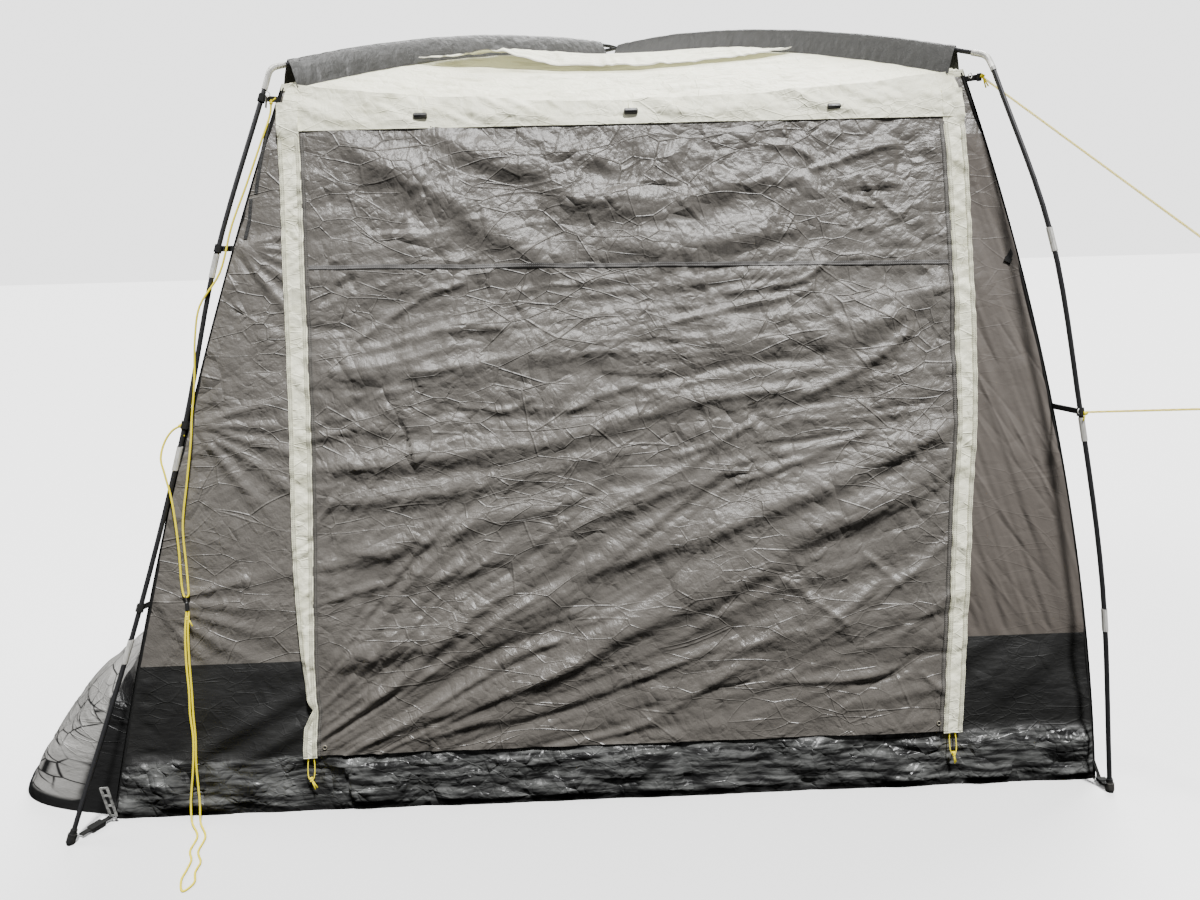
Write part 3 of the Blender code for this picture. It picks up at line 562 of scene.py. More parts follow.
def pressed_creases(cloth, where, warped, layers):
    """Straight sharp creases that show in patches, as a height from 0 up."""
    total = 0.0
    for scale, stretch, turn, width, depth, spot in layers:
        turned = cloth.node("ShaderNodeMapping", {}, {0: warped, "Rotation": (0, 0, turn),
                                                      "Scale": (1.0, stretch, 1.0)})
        edge = cloth.node("ShaderNodeTexVoronoi", {"feature": "DISTANCE_TO_EDGE"},
                          {"Vector": turned, "Scale": scale})
        near = cloth.ramp(cloth.grain(where.shifted(scale), spot, detail=1.0), (0.46, 0.0), (0.60, 1.0))
        total = cloth.ramp(edge, (0.0, 1.0), (width, 0.0)) * near * depth + total
    return total


def tilted_plates(cloth, warped, scale):
    """Little flat plates that each lean their own way, as a height."""
    cell = {"Vector": warped, "Scale": scale}
    tilt = cloth.node("ShaderNodeTexVoronoi", {}, cell, output="Color")
    spot = cloth.node("ShaderNodeTexVoronoi", {}, cell, output="Position")
    away = cloth.node("ShaderNodeVectorMath", {"operation": "SUBTRACT"}, {0: warped, 1: spot})
    lean = cloth.node("ShaderNodeVectorMath", {"operation": "SUBTRACT"}, {0: tilt, 1: (0.5, 0.5, 0.5)})
    return cloth.node("ShaderNodeVectorMath", {"operation": "DOT_PRODUCT"}, {0: away, 1: lean}, output="Value")


def straight_strokes(cloth, where, warped, scale, spot):
    """Short straight creases, each across a cell of its own, with a flat facet on either side."""
    fold_line = cloth.node("ShaderNodeMath", {"operation": "ABSOLUTE"}, {0: tilted_plates(cloth, warped, scale)})
    edge = cloth.node("ShaderNodeTexVoronoi", {"feature": "DISTANCE_TO_EDGE"}, {"Vector": warped, "Scale": scale})
    near = cloth.ramp(cloth.grain(where.shifted(scale), spot, detail=1.0), (0.36, 0.15), (0.56, 1.0))
    return fold_line * cloth.ramp(edge, (0.0, 0.0), (0.28, 1.0)) * near


def grey_cloth(name, light=(0.153, 0.142, 0.127), dark=(0.108, 0.099, 0.088), fine=1.0, shine=0.34):
    """Coated polyester: a faint weave, fine hard crinkles and a satin shine."""
    cloth = Finish(name)
    where = cloth.cloth_place()
    stray = cloth.node("ShaderNodeTexNoise", {}, {"Vector": where, "Scale": 3.0, "Detail": 0.0}, output="Color")
    warped = cloth.node("ShaderNodeVectorMath", {"operation": "MULTIPLY_ADD"},
                        {0: stray, 1: (0.10, 0.10, 0.0), 2: where})
    up = cloth.node("ShaderNodeSeparateXYZ", {}, {0: where}, output=1)
    creases = pressed_creases(cloth, where, warped, CREASES) * 0.8
    for scale, slope, spot in STROKES:
        creases = straight_strokes(cloth, where, warped.shifted(scale), scale, spot) * slope + creases
    creases = creases * cloth.ramp(up, (0.70, 0.80), (1.10, 1.0))
    crinkle = cloth.grain(warped, 36.0, detail=5.0, roughness=0.62) * 1.4
    weave = cloth.node("ShaderNodeTexWave", {"wave_type": "BANDS"}, {"Vector": where, "Scale": 420.0})
    tone = cloth.grain(where, 3.0, detail=3.0) * 0.7 + cloth.grain(where, 700.0) * 0.3
    tone = tone - cloth.ramp(up * 0.5, (0.08, 0.75), (0.45, 0.0), (0.78, 0.0), (0.92, 0.35))
    height = (creases + crinkle) * fine + weave * 0.02
    cloth.show(Base_Color=cloth.tint(tone, dark, light), Roughness=shine + tone * 0.14,
               Normal=cloth.bump(height, 0.0026))
    cloth.shader.inputs["Specular IOR Level"].default_value = 0.55
    return cloth


wall_grey = grey_cloth("wall_grey")
taut_grey = grey_cloth("taut_grey", (0.138, 0.122, 0.108), (0.100, 0.087, 0.076), 0.22)


def off_corner(from_corner):
    """0 on a corner seam, where two walls meet, and 1 from 3 cm away."""
    return np.clip(from_corner / 0.03, 0.0, 1)


def off_seam(z):
    """0 on the seam between a wall and its mud wall, which both follow, and 1 away from it."""
    return np.clip(np.abs(z - MUD_Z) / 0.025, 0, 1)


def wall_relief(x, z):
    """Folds in the front walls beside the door, with pulls from the clips at the left corner
    and slanting creases near the right one.
    """
    hung = 0.004 * waves(x * 3.1, z * 2.3, 11) + 0.0030 * waves(x * 9 + z * 2, z * 4.5, 12)
    small = 0.05 * facets(x + 0.02 * waves(x * 9, z * 9, 13), z, 0.075, 14)
    fine = 0.06 * facets(x, z, 0.036, 15)
    pressed = crease_lines(x, z, (-1.5, 1.5, 0.2, 2.1), 260, 16, 0.22, 0.0060, 0.0026)
    held = sum(pulls(x, z, (left_x(h) + 0.01, h), (-52, -34, -18, -4, 12), 0.34, 0.017, 0.011)
               for h in (1.627, 1.138, 0.633))
    right = np.clip((x - 0.9) * 6, 0, 1)
    slant = 0.0035 * waves((x - 1.1) * 34 + (z - 1.0) * 13, z * 1.4, 17)
    slant += 0.0020 * waves((x - 1.1) * 70 + (z - 1.0) * 24, z * 2.0, 18)
    slant += crease_lines(x, z, (1.00, 1.34, 0.50, 1.36), 30, 19, 0.36, 0.0045, 0.0034, heading=-1.03, spread=0.34)
    return FACE + 0.003 + off_seam(z) * ((hung + small + fine + pressed) * (1 - 0.85 * right) + held + slant * right)


def header_relief(x, z):
    """The same folds, dying out where the roof and the door's band hold the cloth flat."""
    return wall_relief(x, z) * (1 - 0.9 * np.clip((z - DOOR_TOP) / 0.05, 0, 1) * (np.abs(x) < 1.2))


def on_front(x, z, out=0.0):
    return columns(x, -wall_y(z) - out, z)


def front_between(left_of, right_of, low, high):
    """A place function for a sheet of the front wall between two edges given by height."""
    def place(u, v):
        x0 = left_of(EAVE_Z) + (right_of(EAVE_Z) - left_of(EAVE_Z)) * u
        z_top = high(x0) if callable(high) else high
        z = low + (z_top - low) * v
        x = left_of(z) + (right_of(z) - left_of(z)) * u
        return (x, z), on_front(x, z)
    return place


def under_roof(x):
    return seam_z((x - TOP_MIDDLE) / TOP_HALF)


def left_corner(z):
    return left_x(z) + CORNER_IN


def right_corner(z):
    return right_x(z) - CORNER_IN


def door_left(z):
    return DOOR_LEFT + 0 * z


def door_right(z):
    return DOOR_RIGHT + 0 * z


WALL_SHEETS = {
    "front_wall_left": (left_corner, door_left, MUD_Z, DOOR_TOP, (60, 200)),
    "front_wall_right": (door_right, right_corner, MUD_Z, DOOR_TOP, (130, 320)),
    "front_wall_header": (left_corner, right_corner, DOOR_TOP, under_roof, (150, 14)),
}
for name, (left_of, right_of, low, high, segments) in WALL_SHEETS.items():
    piece = make_cloth(name + "_cloth", segments, front_between(left_of, right_of, low, high),
                       header_relief if name == "front_wall_header" else wall_relief,
                       taut_grey if name == "front_wall_right" else wall_grey)
    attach(piece, "tent")
    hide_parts(name)
    wide = right_of(low) - left_of(low)
    tall = DOOR_TOP - MUD_Z if high is DOOR_TOP else EAVE_Z - DOOR_TOP
    narrow = right_of(low + tall) - left_of(low + tall)
    (wide + narrow) / 2 * tall * 0.98


def upright_sheet(x_or_y_at, on_wall, low, high):
    """A place function for a whole wall: u runs between its corners as seen from outside."""
    def place(u, v):
        z = low + (high(u) - low) * v
        across = x_or_y_at(u, z)
        return (np.abs(across) * np.sign(across) + 0 * z, z), on_wall(across, z)
    return place


def left_wall_place(low, high):
    return upright_sheet(lambda u, z: (1 - 2 * u) * (wall_y(z) + CORNER_OUT),
                         lambda y, z: columns(left_x(z), y, z), low, high)


def right_wall_place(low, high):
    return upright_sheet(lambda u, z: (2 * u - 1) * (wall_y(z) + CORNER_OUT),
                         lambda y, z: columns(right_x(z), y, z), low, high)


def back_wall_place(low, high):
    def x_at(u, z):
        return right_x(z) + CORNER_OUT + (left_x(z) - right_x(z) - 2 * CORNER_OUT) * u
    return upright_sheet(x_at, lambda x, z: columns(x, wall_y(z), z), low, high)


def side_top(u):
    return seam_z((2 * u - 1) * 0.99)


def plain_relief(y, z, from_corner):
    """Folds in the three plain walls, with pulls from the clips at both ends."""
    hung = 0.005 * waves(y * 2.6, z * 2.1, 21) + 0.004 * waves(y * 8 + z * 3, z * 4.1, 22)
    small = 0.05 * facets(y + 0.02 * waves(y * 9, z * 9, 23), z, 0.08, 24)
    pressed = crease_lines(y, z, (-1.5, 1.5, 0.2, 2.1), 260, 26, 0.24, 0.0065, 0.0026)
    held = sum(pulls(y, z, (side * wall_y(h), h), [90 + side * (90 + t) for t in (-32, -15, 0, 12, 30)],
                     0.30, 0.024, 0.006) for h in (1.627, 1.138, 0.633) for side in (-1, 1))
    return FACE + 0.003 + off_seam(z) * off_corner(from_corner) * (hung + small + pressed + held)


def side_relief(y, z):
    return plain_relief(y, z, wall_y(z) - np.abs(y))


def back_relief(x, z):
    return plain_relief(x, z, np.minimum(x - left_x(z), right_x(z) - x))


for name, place, wide in (("left_wall", left_wall_place, BASE_Y), ("right_wall", right_wall_place, BASE_Y),
                          ("back_wall", back_wall_place, BASE_RIGHT)):
    piece = make_cloth(name + "_cloth", (220, 150), place(MUD_Z, side_top),
                       back_relief if name == "back_wall" else side_relief, wall_grey)
    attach(piece, "tent")
    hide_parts(name)
    2 * wide
    1.68 * wide * (EAVE_Z - MUD_Z)


# Mud walls
# A band of black coated cloth is sewn round the foot of the walls and runs on as a low sill
# across the doorway. Its lowest part is a stiffer, shinier skirt that lies crumpled; the pale
# streaks of shine on it are painted sheen.
SKIRT_Z = 0.165
PEG_LOOPS = (-0.875, 1.022)      # where the door's pegging loops hang in front of the sill
MUD_CREASES = ((7.0, 2.4, 0.5, 0.030, 1.0, 4.0), (16.0, 2.0, -0.5, 0.050, 0.8, 7.0), (34.0, 1.6, 0.1, 0.09, 0.4, 12.0))
black_cloth = Finish("black_mud_cloth")
mud_where = black_cloth.cloth_place()
mud_height = black_cloth.node("ShaderNodeSeparateXYZ", {}, {0: mud_where}, output=1)
on_skirt = black_cloth.ramp(mud_height + black_cloth.grain(mud_where, 6.0) * 0.03,
                            (SKIRT_Z + 0.010, 1.0), (SKIRT_Z + 0.022, 0.0))
lowest = black_cloth.ramp(mud_height + black_cloth.grain(mud_where, 30.0) * 0.02, (0.020, 1.0), (0.032, 0.0))
mud_tone = black_cloth.grain(mud_where, 9.0, detail=5.0)
# The skirt's pale streaks are painted sheen: the sky's reflection on its crumpled facets, put into its colour.
skirt_sheen_streaks = black_cloth.ramp(black_cloth.grain(black_cloth.cloth_place((9.0, 60.0, 1.0), -0.05), 1.0, detail=6.0),
                              (0.42, 0.0), (0.66, 1.0))
dusty = black_cloth.tint(mud_tone, (0.005, 0.005, 0.005), (0.014, 0.014, 0.013))
skirt_painted_sheen = black_cloth.tint(skirt_sheen_streaks, (0.012, 0.012, 0.012), (0.130, 0.132, 0.128))
dark_edge = black_cloth.tint(mud_tone, (0.008, 0.008, 0.008), (0.016, 0.016, 0.016))
mud_crinkle = black_cloth.grain(black_cloth.cloth_place((20.0, 55.0, 1.0), 0.15), 1.0, detail=5.0)
mud_strokes = (straight_strokes(black_cloth, mud_where, mud_where, 13.0, 4.0) * 130.0
               + straight_strokes(black_cloth, mud_where, mud_where.shifted(3.0), 34.0, 7.0) * 110.0)
mud_bumps = (pressed_creases(black_cloth, mud_where, mud_where, MUD_CREASES) * 0.3 + mud_crinkle * 0.8
             + mud_strokes * (0.30 + on_skirt * 1.7))
black_cloth.show(Base_Color=black_cloth.blend(lowest, black_cloth.blend(on_skirt, dusty, skirt_painted_sheen), dark_edge),
                 Roughness=0.58 - on_skirt * 0.28 + mud_tone * 0.1, Normal=black_cloth.bump(mud_bumps, 0.0030))
black_cloth.shader.inputs["Specular IOR Level"].default_value = 0.42


def slack_mud(x, z, from_corner):
    """Slack folds above, and a crumpled skirt near the ground; both die out at the corner seams."""
    low = np.clip((SKIRT_Z + 0.02 - z) / 0.05, 0, 1)
    hung = 0.007 * waves(x * 4.2 + z * 5, z * 4.0, 31) + 0.004 * waves(x * 11 - z * 14, z * 3, 32)
    pressed = crease_lines(x, z, (-1.5, 1.5, 0.0, 0.5), 130, 33, 0.2, 0.006, 0.0024)
    crumpled = 0.26 * facets(x + 0.03 * waves(x * 7, z * 7, 34), z * 1.6, 0.11, 35)
    crumpled += 0.18 * facets(x, z * 1.3, 0.048, 36) + 0.008
    gathers = 0.0035 * waves(z * 52, x * 9, 37) * np.exp(-((x + 1.345) / 0.022) ** 2)
    long = sum(0.012 * np.exp(-(((z - lift) - (x + 1.26) * 0.55) / 0.032) ** 2) * np.clip((x + 1.36) * 6, 0, 1)
               for lift in (0.155, 0.055)) * np.clip((-0.78 - x) * 12, 0, 1)
    loops = sum(np.exp(-((x - loop) / 0.05) ** 2) for loop in PEG_LOOPS)
    foot = np.clip(z / 0.03, 0.25, 1) * (1 - 0.85 * np.clip(loops, 0, 1))
    free = off_seam(z) * off_corner(from_corner)
    return FACE + 0.003 + free * ((1.25 * hung + pressed + gathers + long) * (1 - low) + crumpled * low * foot)


def mud_relief(x, z):
    return slack_mud(x, z, np.minimum(x - left_x(z), right_x(z) - x))


def side_mud_relief(y, z):
    return slack_mud(y, z, wall_y(z) - np.abs(y))


def level_top(u):
    return MUD_Z + 0 * u


def door_edge_left(z):
    return DOOR_LEFT + 0.004 + 0 * z


MUD_SHEETS = {
    "front_mud_left": (front_between(left_corner, door_left, 0.0, MUD_Z), (95, 64), -BASE_LEFT + DOOR_LEFT),
    "front_mud_right": (front_between(door_right, right_corner, 0.0, MUD_Z), (75, 64), BASE_RIGHT - DOOR_RIGHT),
    "left_mud_wall": (left_wall_place(0.0, level_top), (300, 50), 2 * BASE_Y),
    "right_mud_wall": (right_wall_place(0.0, level_top), (300, 50), 2 * BASE_Y),
    "back_mud_wall": (back_wall_place(0.0, level_top), (300, 50), 2 * BASE_RIGHT),
    "front_mud_sill": (front_between(door_left, door_right, 0.0, DOOR_SILL), (260, 34), DOOR_RIGHT - DOOR_LEFT),
}
for name, (place, segments, wide) in MUD_SHEETS.items():
    relief = side_mud_relief if name in ("left_mud_wall", "right_mud_wall") else mud_relief
    piece = make_cloth(name + "_cloth", segments, place, relief, black_cloth)
    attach(piece, "tent")
    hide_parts(name)
    tall = DOOR_SILL if name == "front_mud_sill" else MUD_Z


# Roof and its vent hood
# The roof is one square of cream coated cloth, creased where it hangs from the pole sleeves.
# A second layer over its front slope shades a vent, its free hem bulging up at the left.
ROOF_Z, ROOF_CURVE, CLOTH = 2.310, 1.9, 0.003
HOOD_TOP, HOOD_HEM, HOOD_RISE, SLEEVE_CLEAR = 0.16, 0.71, 0.042, 0.064

CREAM_CREASES = ((9.0, 2.2, 0.7, 0.030, 0.8, 4.0), (17.0, 2.0, -0.5, 0.050, 0.6, 7.0))
CREAM_STROKES = ((15.0, 70.0, 5.0), (36.0, 70.0, 9.0))
cream_cloth = Finish("cream_cloth")
cream_where = cream_cloth.cloth_place()
cream_fine = cream_cloth.grain(cream_where, 30.0, detail=5.0, roughness=0.6)
# Slanting darker bands in the cream's colour are painted shade, as slanting puckers and creases throw it; the rest of
# its tone varies at random.
cream_slanting_painted_shade = cream_cloth.grain(cream_cloth.cloth_place((9.0, 26.0, 1.0), 0.6), 1.0, detail=3.0)
cream_tone = cream_cloth.ramp(cream_slanting_painted_shade * 0.6 + cream_cloth.grain(cream_where, 4.0, detail=3.0) * 0.4,
                              (0.34, 0.0), (0.50, 1.0))
cream_colour = cream_cloth.tint(cream_tone, (0.56, 0.55, 0.39), (0.84, 0.83, 0.64))
cream_creases = pressed_creases(cream_cloth, cream_where, cream_where, CREAM_CREASES) * 0.5 + cream_fine
for scale, slope, spot in CREAM_STROKES:
    stroke = straight_strokes(cream_cloth, cream_where, cream_where.shifted(scale), scale, spot)
    cream_creases = stroke * slope + cream_creases
# The cream cloth glows a little in its own colour: painted light that lightens its shaded folds and hollows.
cream_cloth.show(Base_Color=cream_colour, Emission_Color=cream_colour, Emission_Strength=0.20,
                 Roughness=0.5 + cream_fine * 0.1, Normal=cream_cloth.bump(cream_creases, 0.004))


def ridge_z(s):
    return ROOF_Z - (ROOF_Z - EAVE_Z) * np.abs(s) ** ROOF_CURVE


def roof_z(x, y):
    u, v = (x - TOP_MIDDLE) / TOP_HALF, y / TOP_Y
    s = np.maximum(np.maximum(np.abs(u), np.abs(v)), 1e-6)
    across = np.minimum(np.abs(u), np.abs(v)) / s
    return ridge_z(s) - EAVE_SAG * s ** 1.4 * (1 - across * across)


def roof_place(u, v):
    x, y = TOP_LEFT + 2 * TOP_HALF * u, TOP_Y * (2 * v - 1)
    return (x, y), columns(x, y, roof_z(x, y) + CLOTH)


def roof_relief(x, y):
    """Slack wrinkles that run along each edge, and small creases."""
    u, v = (x - TOP_MIDDLE) / TOP_HALF, y / TOP_Y
    front = np.abs(v) > np.abs(u)
    along, out = np.where(front, x, y), np.where(front, np.abs(y), np.abs(x - TOP_MIDDLE))
    edge = np.clip((1 - np.maximum(np.abs(u), np.abs(v))) * 12, 0, 1)
    crease = np.clip(np.abs(np.abs(u) - np.abs(v)) * 8, 0, 1)
    slack = 0.0022 * waves(out * 34, along * 2.6, 41) + 0.0016 * waves(out * 62, along * 5, 42)
    small = 0.05 * facets(x, y, 0.06, 43)
    return edge * crease * (slack + small + 0.004 * waves(x * 3, y * 3, 44))


def hood_place(u, v):
    u, v = 2 * u - 1, 1 - v
    s = HOOD_TOP + (HOOD_HEM - 0.07 * np.maximum(0, u) ** 2 - HOOD_TOP) * v
    x, y = TOP_MIDDLE + u * (s * TOP_HALF - SLEEVE_CLEAR), -s * TOP_Y
    rise = HOOD_RISE * np.maximum(0, 1 - np.abs(u + 0.64) / 0.34) ** 1.2 * v * v
    return (x, y), columns(x, y, roof_z(x, y) + CLOTH + 0.012 * v + rise + CLOTH)


def hood_relief(x, y):
    hem = np.clip((-y - 0.35) * 4, 0, 1)
    gathers = 0.004 * waves(x * 26 + y * 9, y * 3, 46) + 0.003 * waves(x * 60, y * 5, 47)
    return hem * gathers + 0.05 * facets(x, y, 0.05, 48) + 0.002


roof = make_cloth("roof_cloth", (190, 190), roof_place, roof_relief, cream_cloth)
hood = make_cloth("roof_vent_hood_cloth", (150, 80), hood_place, hood_relief, cream_cloth)
for piece, node, flat in ((roof, "roof", (2 * TOP_HALF + 0.05, 2 * TOP_Y + 0.05)),
                          (hood, "roof_vent_hood", (1.30, 0.58))):
    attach(piece, "tent")
    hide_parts(node)


def eave_place(x_side, y_side):
    """The turned-down hem along one edge of the roof, from its top edge down."""
    def place(u, v):
        t = (2 * u - 1) * (x_side or -y_side)
        reach = 0.007 - 0.003 * v
        x = TOP_MIDDLE + (x_side * (TOP_HALF + reach) if x_side else t * (TOP_HALF + reach))
        y = y_side * (TOP_Y + reach) if y_side else t * (TOP_Y + reach)
        return (t, 0.02 * v), columns(x, y, seam_z(t) + CLOTH + 0.0015 - 0.019 * (1 - v))
    return place


def eave_relief(t, down):
    return 0.0012 * waves(t * 46, down * 60, 49) * (1 - down * 45)


for name, x_side, y_side, long in (("front", 0, -1, TOP_HALF), ("back", 0, 1, TOP_HALF),
                                   ("left", -1, 0, TOP_Y), ("right", 1, 0, TOP_Y)):
    hem = make_cloth("roof_hem_" + name, (260, 4), eave_place(x_side, y_side), eave_relief, cream_cloth)
    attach(hem, "tent")

beige_tape = Finish("beige_tape")
beige_grain = beige_tape.grain(beige_tape.cloth_place(), 160.0, detail=3.0)
beige_tape.show(Base_Color=beige_tape.tint(beige_grain, (0.34, 0.33, 0.25), (0.48, 0.46, 0.36)), Roughness=0.7,
                Normal=beige_tape.bump(beige_grain, 0.0008))


def hood_hem_place(u, v):
    return hood_place(u, 0.035 * v - 0.004)


def hood_hem_relief(x, y):
    return hood_relief(x, y) + 0.0016


hood_hem = make_cloth("roof_vent_hood_hem", (150, 3), hood_hem_place, hood_hem_relief, beige_tape)
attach(hood_hem, "tent")


# Pole sleeves
# Four channels of grey cloth are sewn along the roof's diagonals. The roof poles run through
# them and carry the roof; their cloth gathers where it is sewn and at both mouths.
POLE_R, POLE_OVER_ROOF = 0.0068, 0.055
sleeve_cloth = Finish("sleeve_cloth")
sleeve_where = sleeve_cloth.cloth_place()
sleeve_fine = sleeve_cloth.grain(sleeve_where, 40.0, detail=4.0)
sleeve_cloth.show(Base_Color=sleeve_cloth.tint(sleeve_fine, (0.022, 0.022, 0.020), (0.046, 0.045, 0.041)),
                  Roughness=0.5, Normal=sleeve_cloth.bump(sleeve_fine, 0.003))


def sleeve_place(x_side, y_side):
    across = np.array((y_side * TOP_Y, -x_side * TOP_HALF, 0.0))
    across /= np.linalg.norm(across)

    def place(u, v):
        s = 0.035 + 0.95 * v
        half, spread = 0.040, 2 * u - 1
        lift = x_side * y_side * 0.0072 * np.maximum(0, 1 - s / 0.25)
        high = POLE_OVER_ROOF + lift + POLE_R + 0.004
        rise = 1 - np.abs(spread) ** 1.15
        rise = rise / (0.94 + 0.06 * rise)
        x = TOP_MIDDLE + x_side * s * TOP_HALF + spread * half * across[0]
        y = y_side * s * TOP_Y + spread * half * across[1]
        low = roof_z(x, y) + CLOTH + 0.001
        return (spread * 0.075, s * 1.4), columns(x, y, low + (ridge_z(s) + high - low) * rise)
    return place


def sleeve_relief(across, along):
    mouth = np.exp(-(along - 0.05) / 0.05) + np.exp(-(1.38 - along) / 0.07)
    gathers = 0.0016 * waves(along * 55, across * 9, 51) * (0.25 + mouth)
    return gathers + 0.05 * facets(across, along, 0.05, 52)


for corner in CORNERS:
    x_side, y_side = (1 if "right" in corner else -1), (1 if "back" in corner else -1)
    piece = make_cloth("pole_sleeve_%s_cloth" % corner, (24, 260), sleeve_place(x_side, y_side), sleeve_relief,
                       sleeve_cloth)
    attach(piece, "tent")
    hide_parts("pole_sleeve_" + corner)


# Corner webbing, clips and foot straps
# Black polypropylene webbing runs down each corner seam. Its clips hold the tent to the legs,
# and a buckled strap ties each foot.
webbing = Finish("black_webbing")
webbing_where = webbing.place()
webbing_ribs = webbing.node("ShaderNodeTexWave", {"wave_type": "BANDS", "bands_direction": "Z"},
                            {"Vector": webbing_where, "Scale": 110.0, "Distortion": 0.5})
fuzz = webbing.grain(webbing_where, 300.0, detail=4.0)
webbing.show(Base_Color=webbing.tint(fuzz, (0.004, 0.004, 0.004), (0.016, 0.016, 0.015)), Roughness=0.75,
             Normal=webbing.bump(webbing_ribs + fuzz * 0.5, 0.0008))
webbing.shader.inputs["Specular IOR Level"].default_value = 0.25
for corner in CORNERS:
    paint("corner_tape_" + corner, webbing)
    paint("foot_strap_" + corner, webbing)

# The lower tab of the front right corner is free, and lies back against the wall.
TAB_Z = 1.580
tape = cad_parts["corner_tape_front_right"]
mesh = tape.data.copy()
mesh.transform(tape.matrix_world)
seam = Vector((right_x(TAB_Z), -wall_y(TAB_Z), TAB_Z)) + MIDDLE
free = [v for v in mesh.vertices if abs(v.co.z - TAB_Z) < 0.013 and (v.co - seam).xy.length > 0.008]
outward = max((v.co - seam for v in free), key=lambda offset: offset.xy.length)
outward = Vector((outward.x, outward.y, 0.0)).normalized()
across = Vector((-outward.y, outward.x, 0.0))
limp = Vector((-0.43, -0.19, -0.88)).normalized()
off_wall = Vector((0.0, -0.98, 0.196))
sideways = limp.cross(off_wall)
for vertex in free:
    offset = vertex.co - seam
    vertex.co = (seam + limp * offset.dot(outward) * 1.15 + sideways * offset.z
                 + off_wall * (offset.dot(across) + 0.010))
tabbed = bpy.data.objects.new("corner_tape_front_right_webbing", mesh)
bpy.context.scene.collection.objects.link(tabbed)
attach(tabbed, "tent")
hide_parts("corner_tape_front_right")


# The front left strap runs through a moulded ladder lock, whose edges are worn bright.
LADDER_LEFT, LADDER_RIGHT = ((-1.4770, 0.1164), (-1.4607, 0.0222)), ((-1.4585, 0.1171), (-1.4435, 0.0214))
LADDER_Y = -1.432
worn_plastic = Finish("worn_plastic")
wear = worn_plastic.ramp(worn_plastic.grain(worn_plastic.place(), 70.0, detail=3.0), (0.35, 0.0), (0.65, 1.0))
worn_plastic.show(Base_Color=worn_plastic.tint(wear, (0.06, 0.06, 0.06), (0.34, 0.34, 0.32)), Roughness=0.4)
ladder = bmesh.new()
for (x_top, z_top), (x_low, z_low) in (LADDER_LEFT, LADDER_RIGHT):
    add_bar(ladder, (x_top, LADDER_Y, z_top), (x_low, LADDER_Y, z_low), 0.0060, 0.0042)
for share in (0.02, 0.28, 0.62, 0.97):
    ends = [(top[0] + (low[0] - top[0]) * share, LADDER_Y, top[1] + (low[1] - top[1]) * share)
            for top, low in (LADDER_LEFT, LADDER_RIGHT)]
    add_bar(ladder, *ends, 0.0050, 0.0040)
small_part("foot_strap_front_left_lock", ladder, worn_plastic, "tent")

# A small steel ring with a short grey tab hangs under the top clip at the front left, and
# plain rings hang at two clips on the right.
CLIP_RINGS = {"left_top": (-0.9245, -1.0260, 2.0560), "right_top": (1.1125, -1.0300, 2.0640),
              "right_middle": (1.3520, -1.3390, 1.1170)}
for name, middle in CLIP_RINGS.items():
    made = bmesh.new()
    add_ring(made, middle, (0.5, -1.0, 0.1), 0.0075, 0.0013)
    small_part("clip_ring_" + name, made, elbow_steel, "tent").data.shade_smooth()
made = bmesh.new()
add_bar(made, (-0.9275, -1.0260, 2.0470), (-0.9320, -1.0262, 2.0190), 0.0014, 0.0150)
small_part("clip_tab_left_top", made, worn_plastic, "tent")


# Front door
# A flap of grey cloth covers the whole doorway. It hangs from a cream band under the eave,
# has a cream border sewn down each side, and rolls up to be tied by three toggles.
FLAP_LEFT, FLAP_RIGHT, BORDER_W, BAND_NARROW = -0.896, 1.098, 0.062, 0.022
EDGE_Z = (0.175, 0.39, 0.51, 0.62, 0.74, 0.86, 0.97, 1.08, 1.20, 1.31, 1.62, 1.80, 1.91, 2.03)
LEFT_EDGE = (-0.894, -0.894, -0.894, -0.894, -0.894, -0.893, -0.891, -0.889,
             -0.888, -0.889, -0.893, -0.895, -0.900, -0.902)
RIGHT_EDGE = (1.050, 1.059, 1.064, 1.070, 1.076, 1.082, 1.090, 1.098,
              1.102, 1.103, 1.101, 1.100, 1.096, 1.092)
HINGE_Z, FLAP_FOOT, FLAP_OUT = 1.955, 0.175, 0.014
SEAM_Z = 1.552


def flap_right(z):
    return np.interp(z, EDGE_Z, RIGHT_EDGE)


def flap_left(z):
    return np.interp(z, EDGE_Z, LEFT_EDGE)


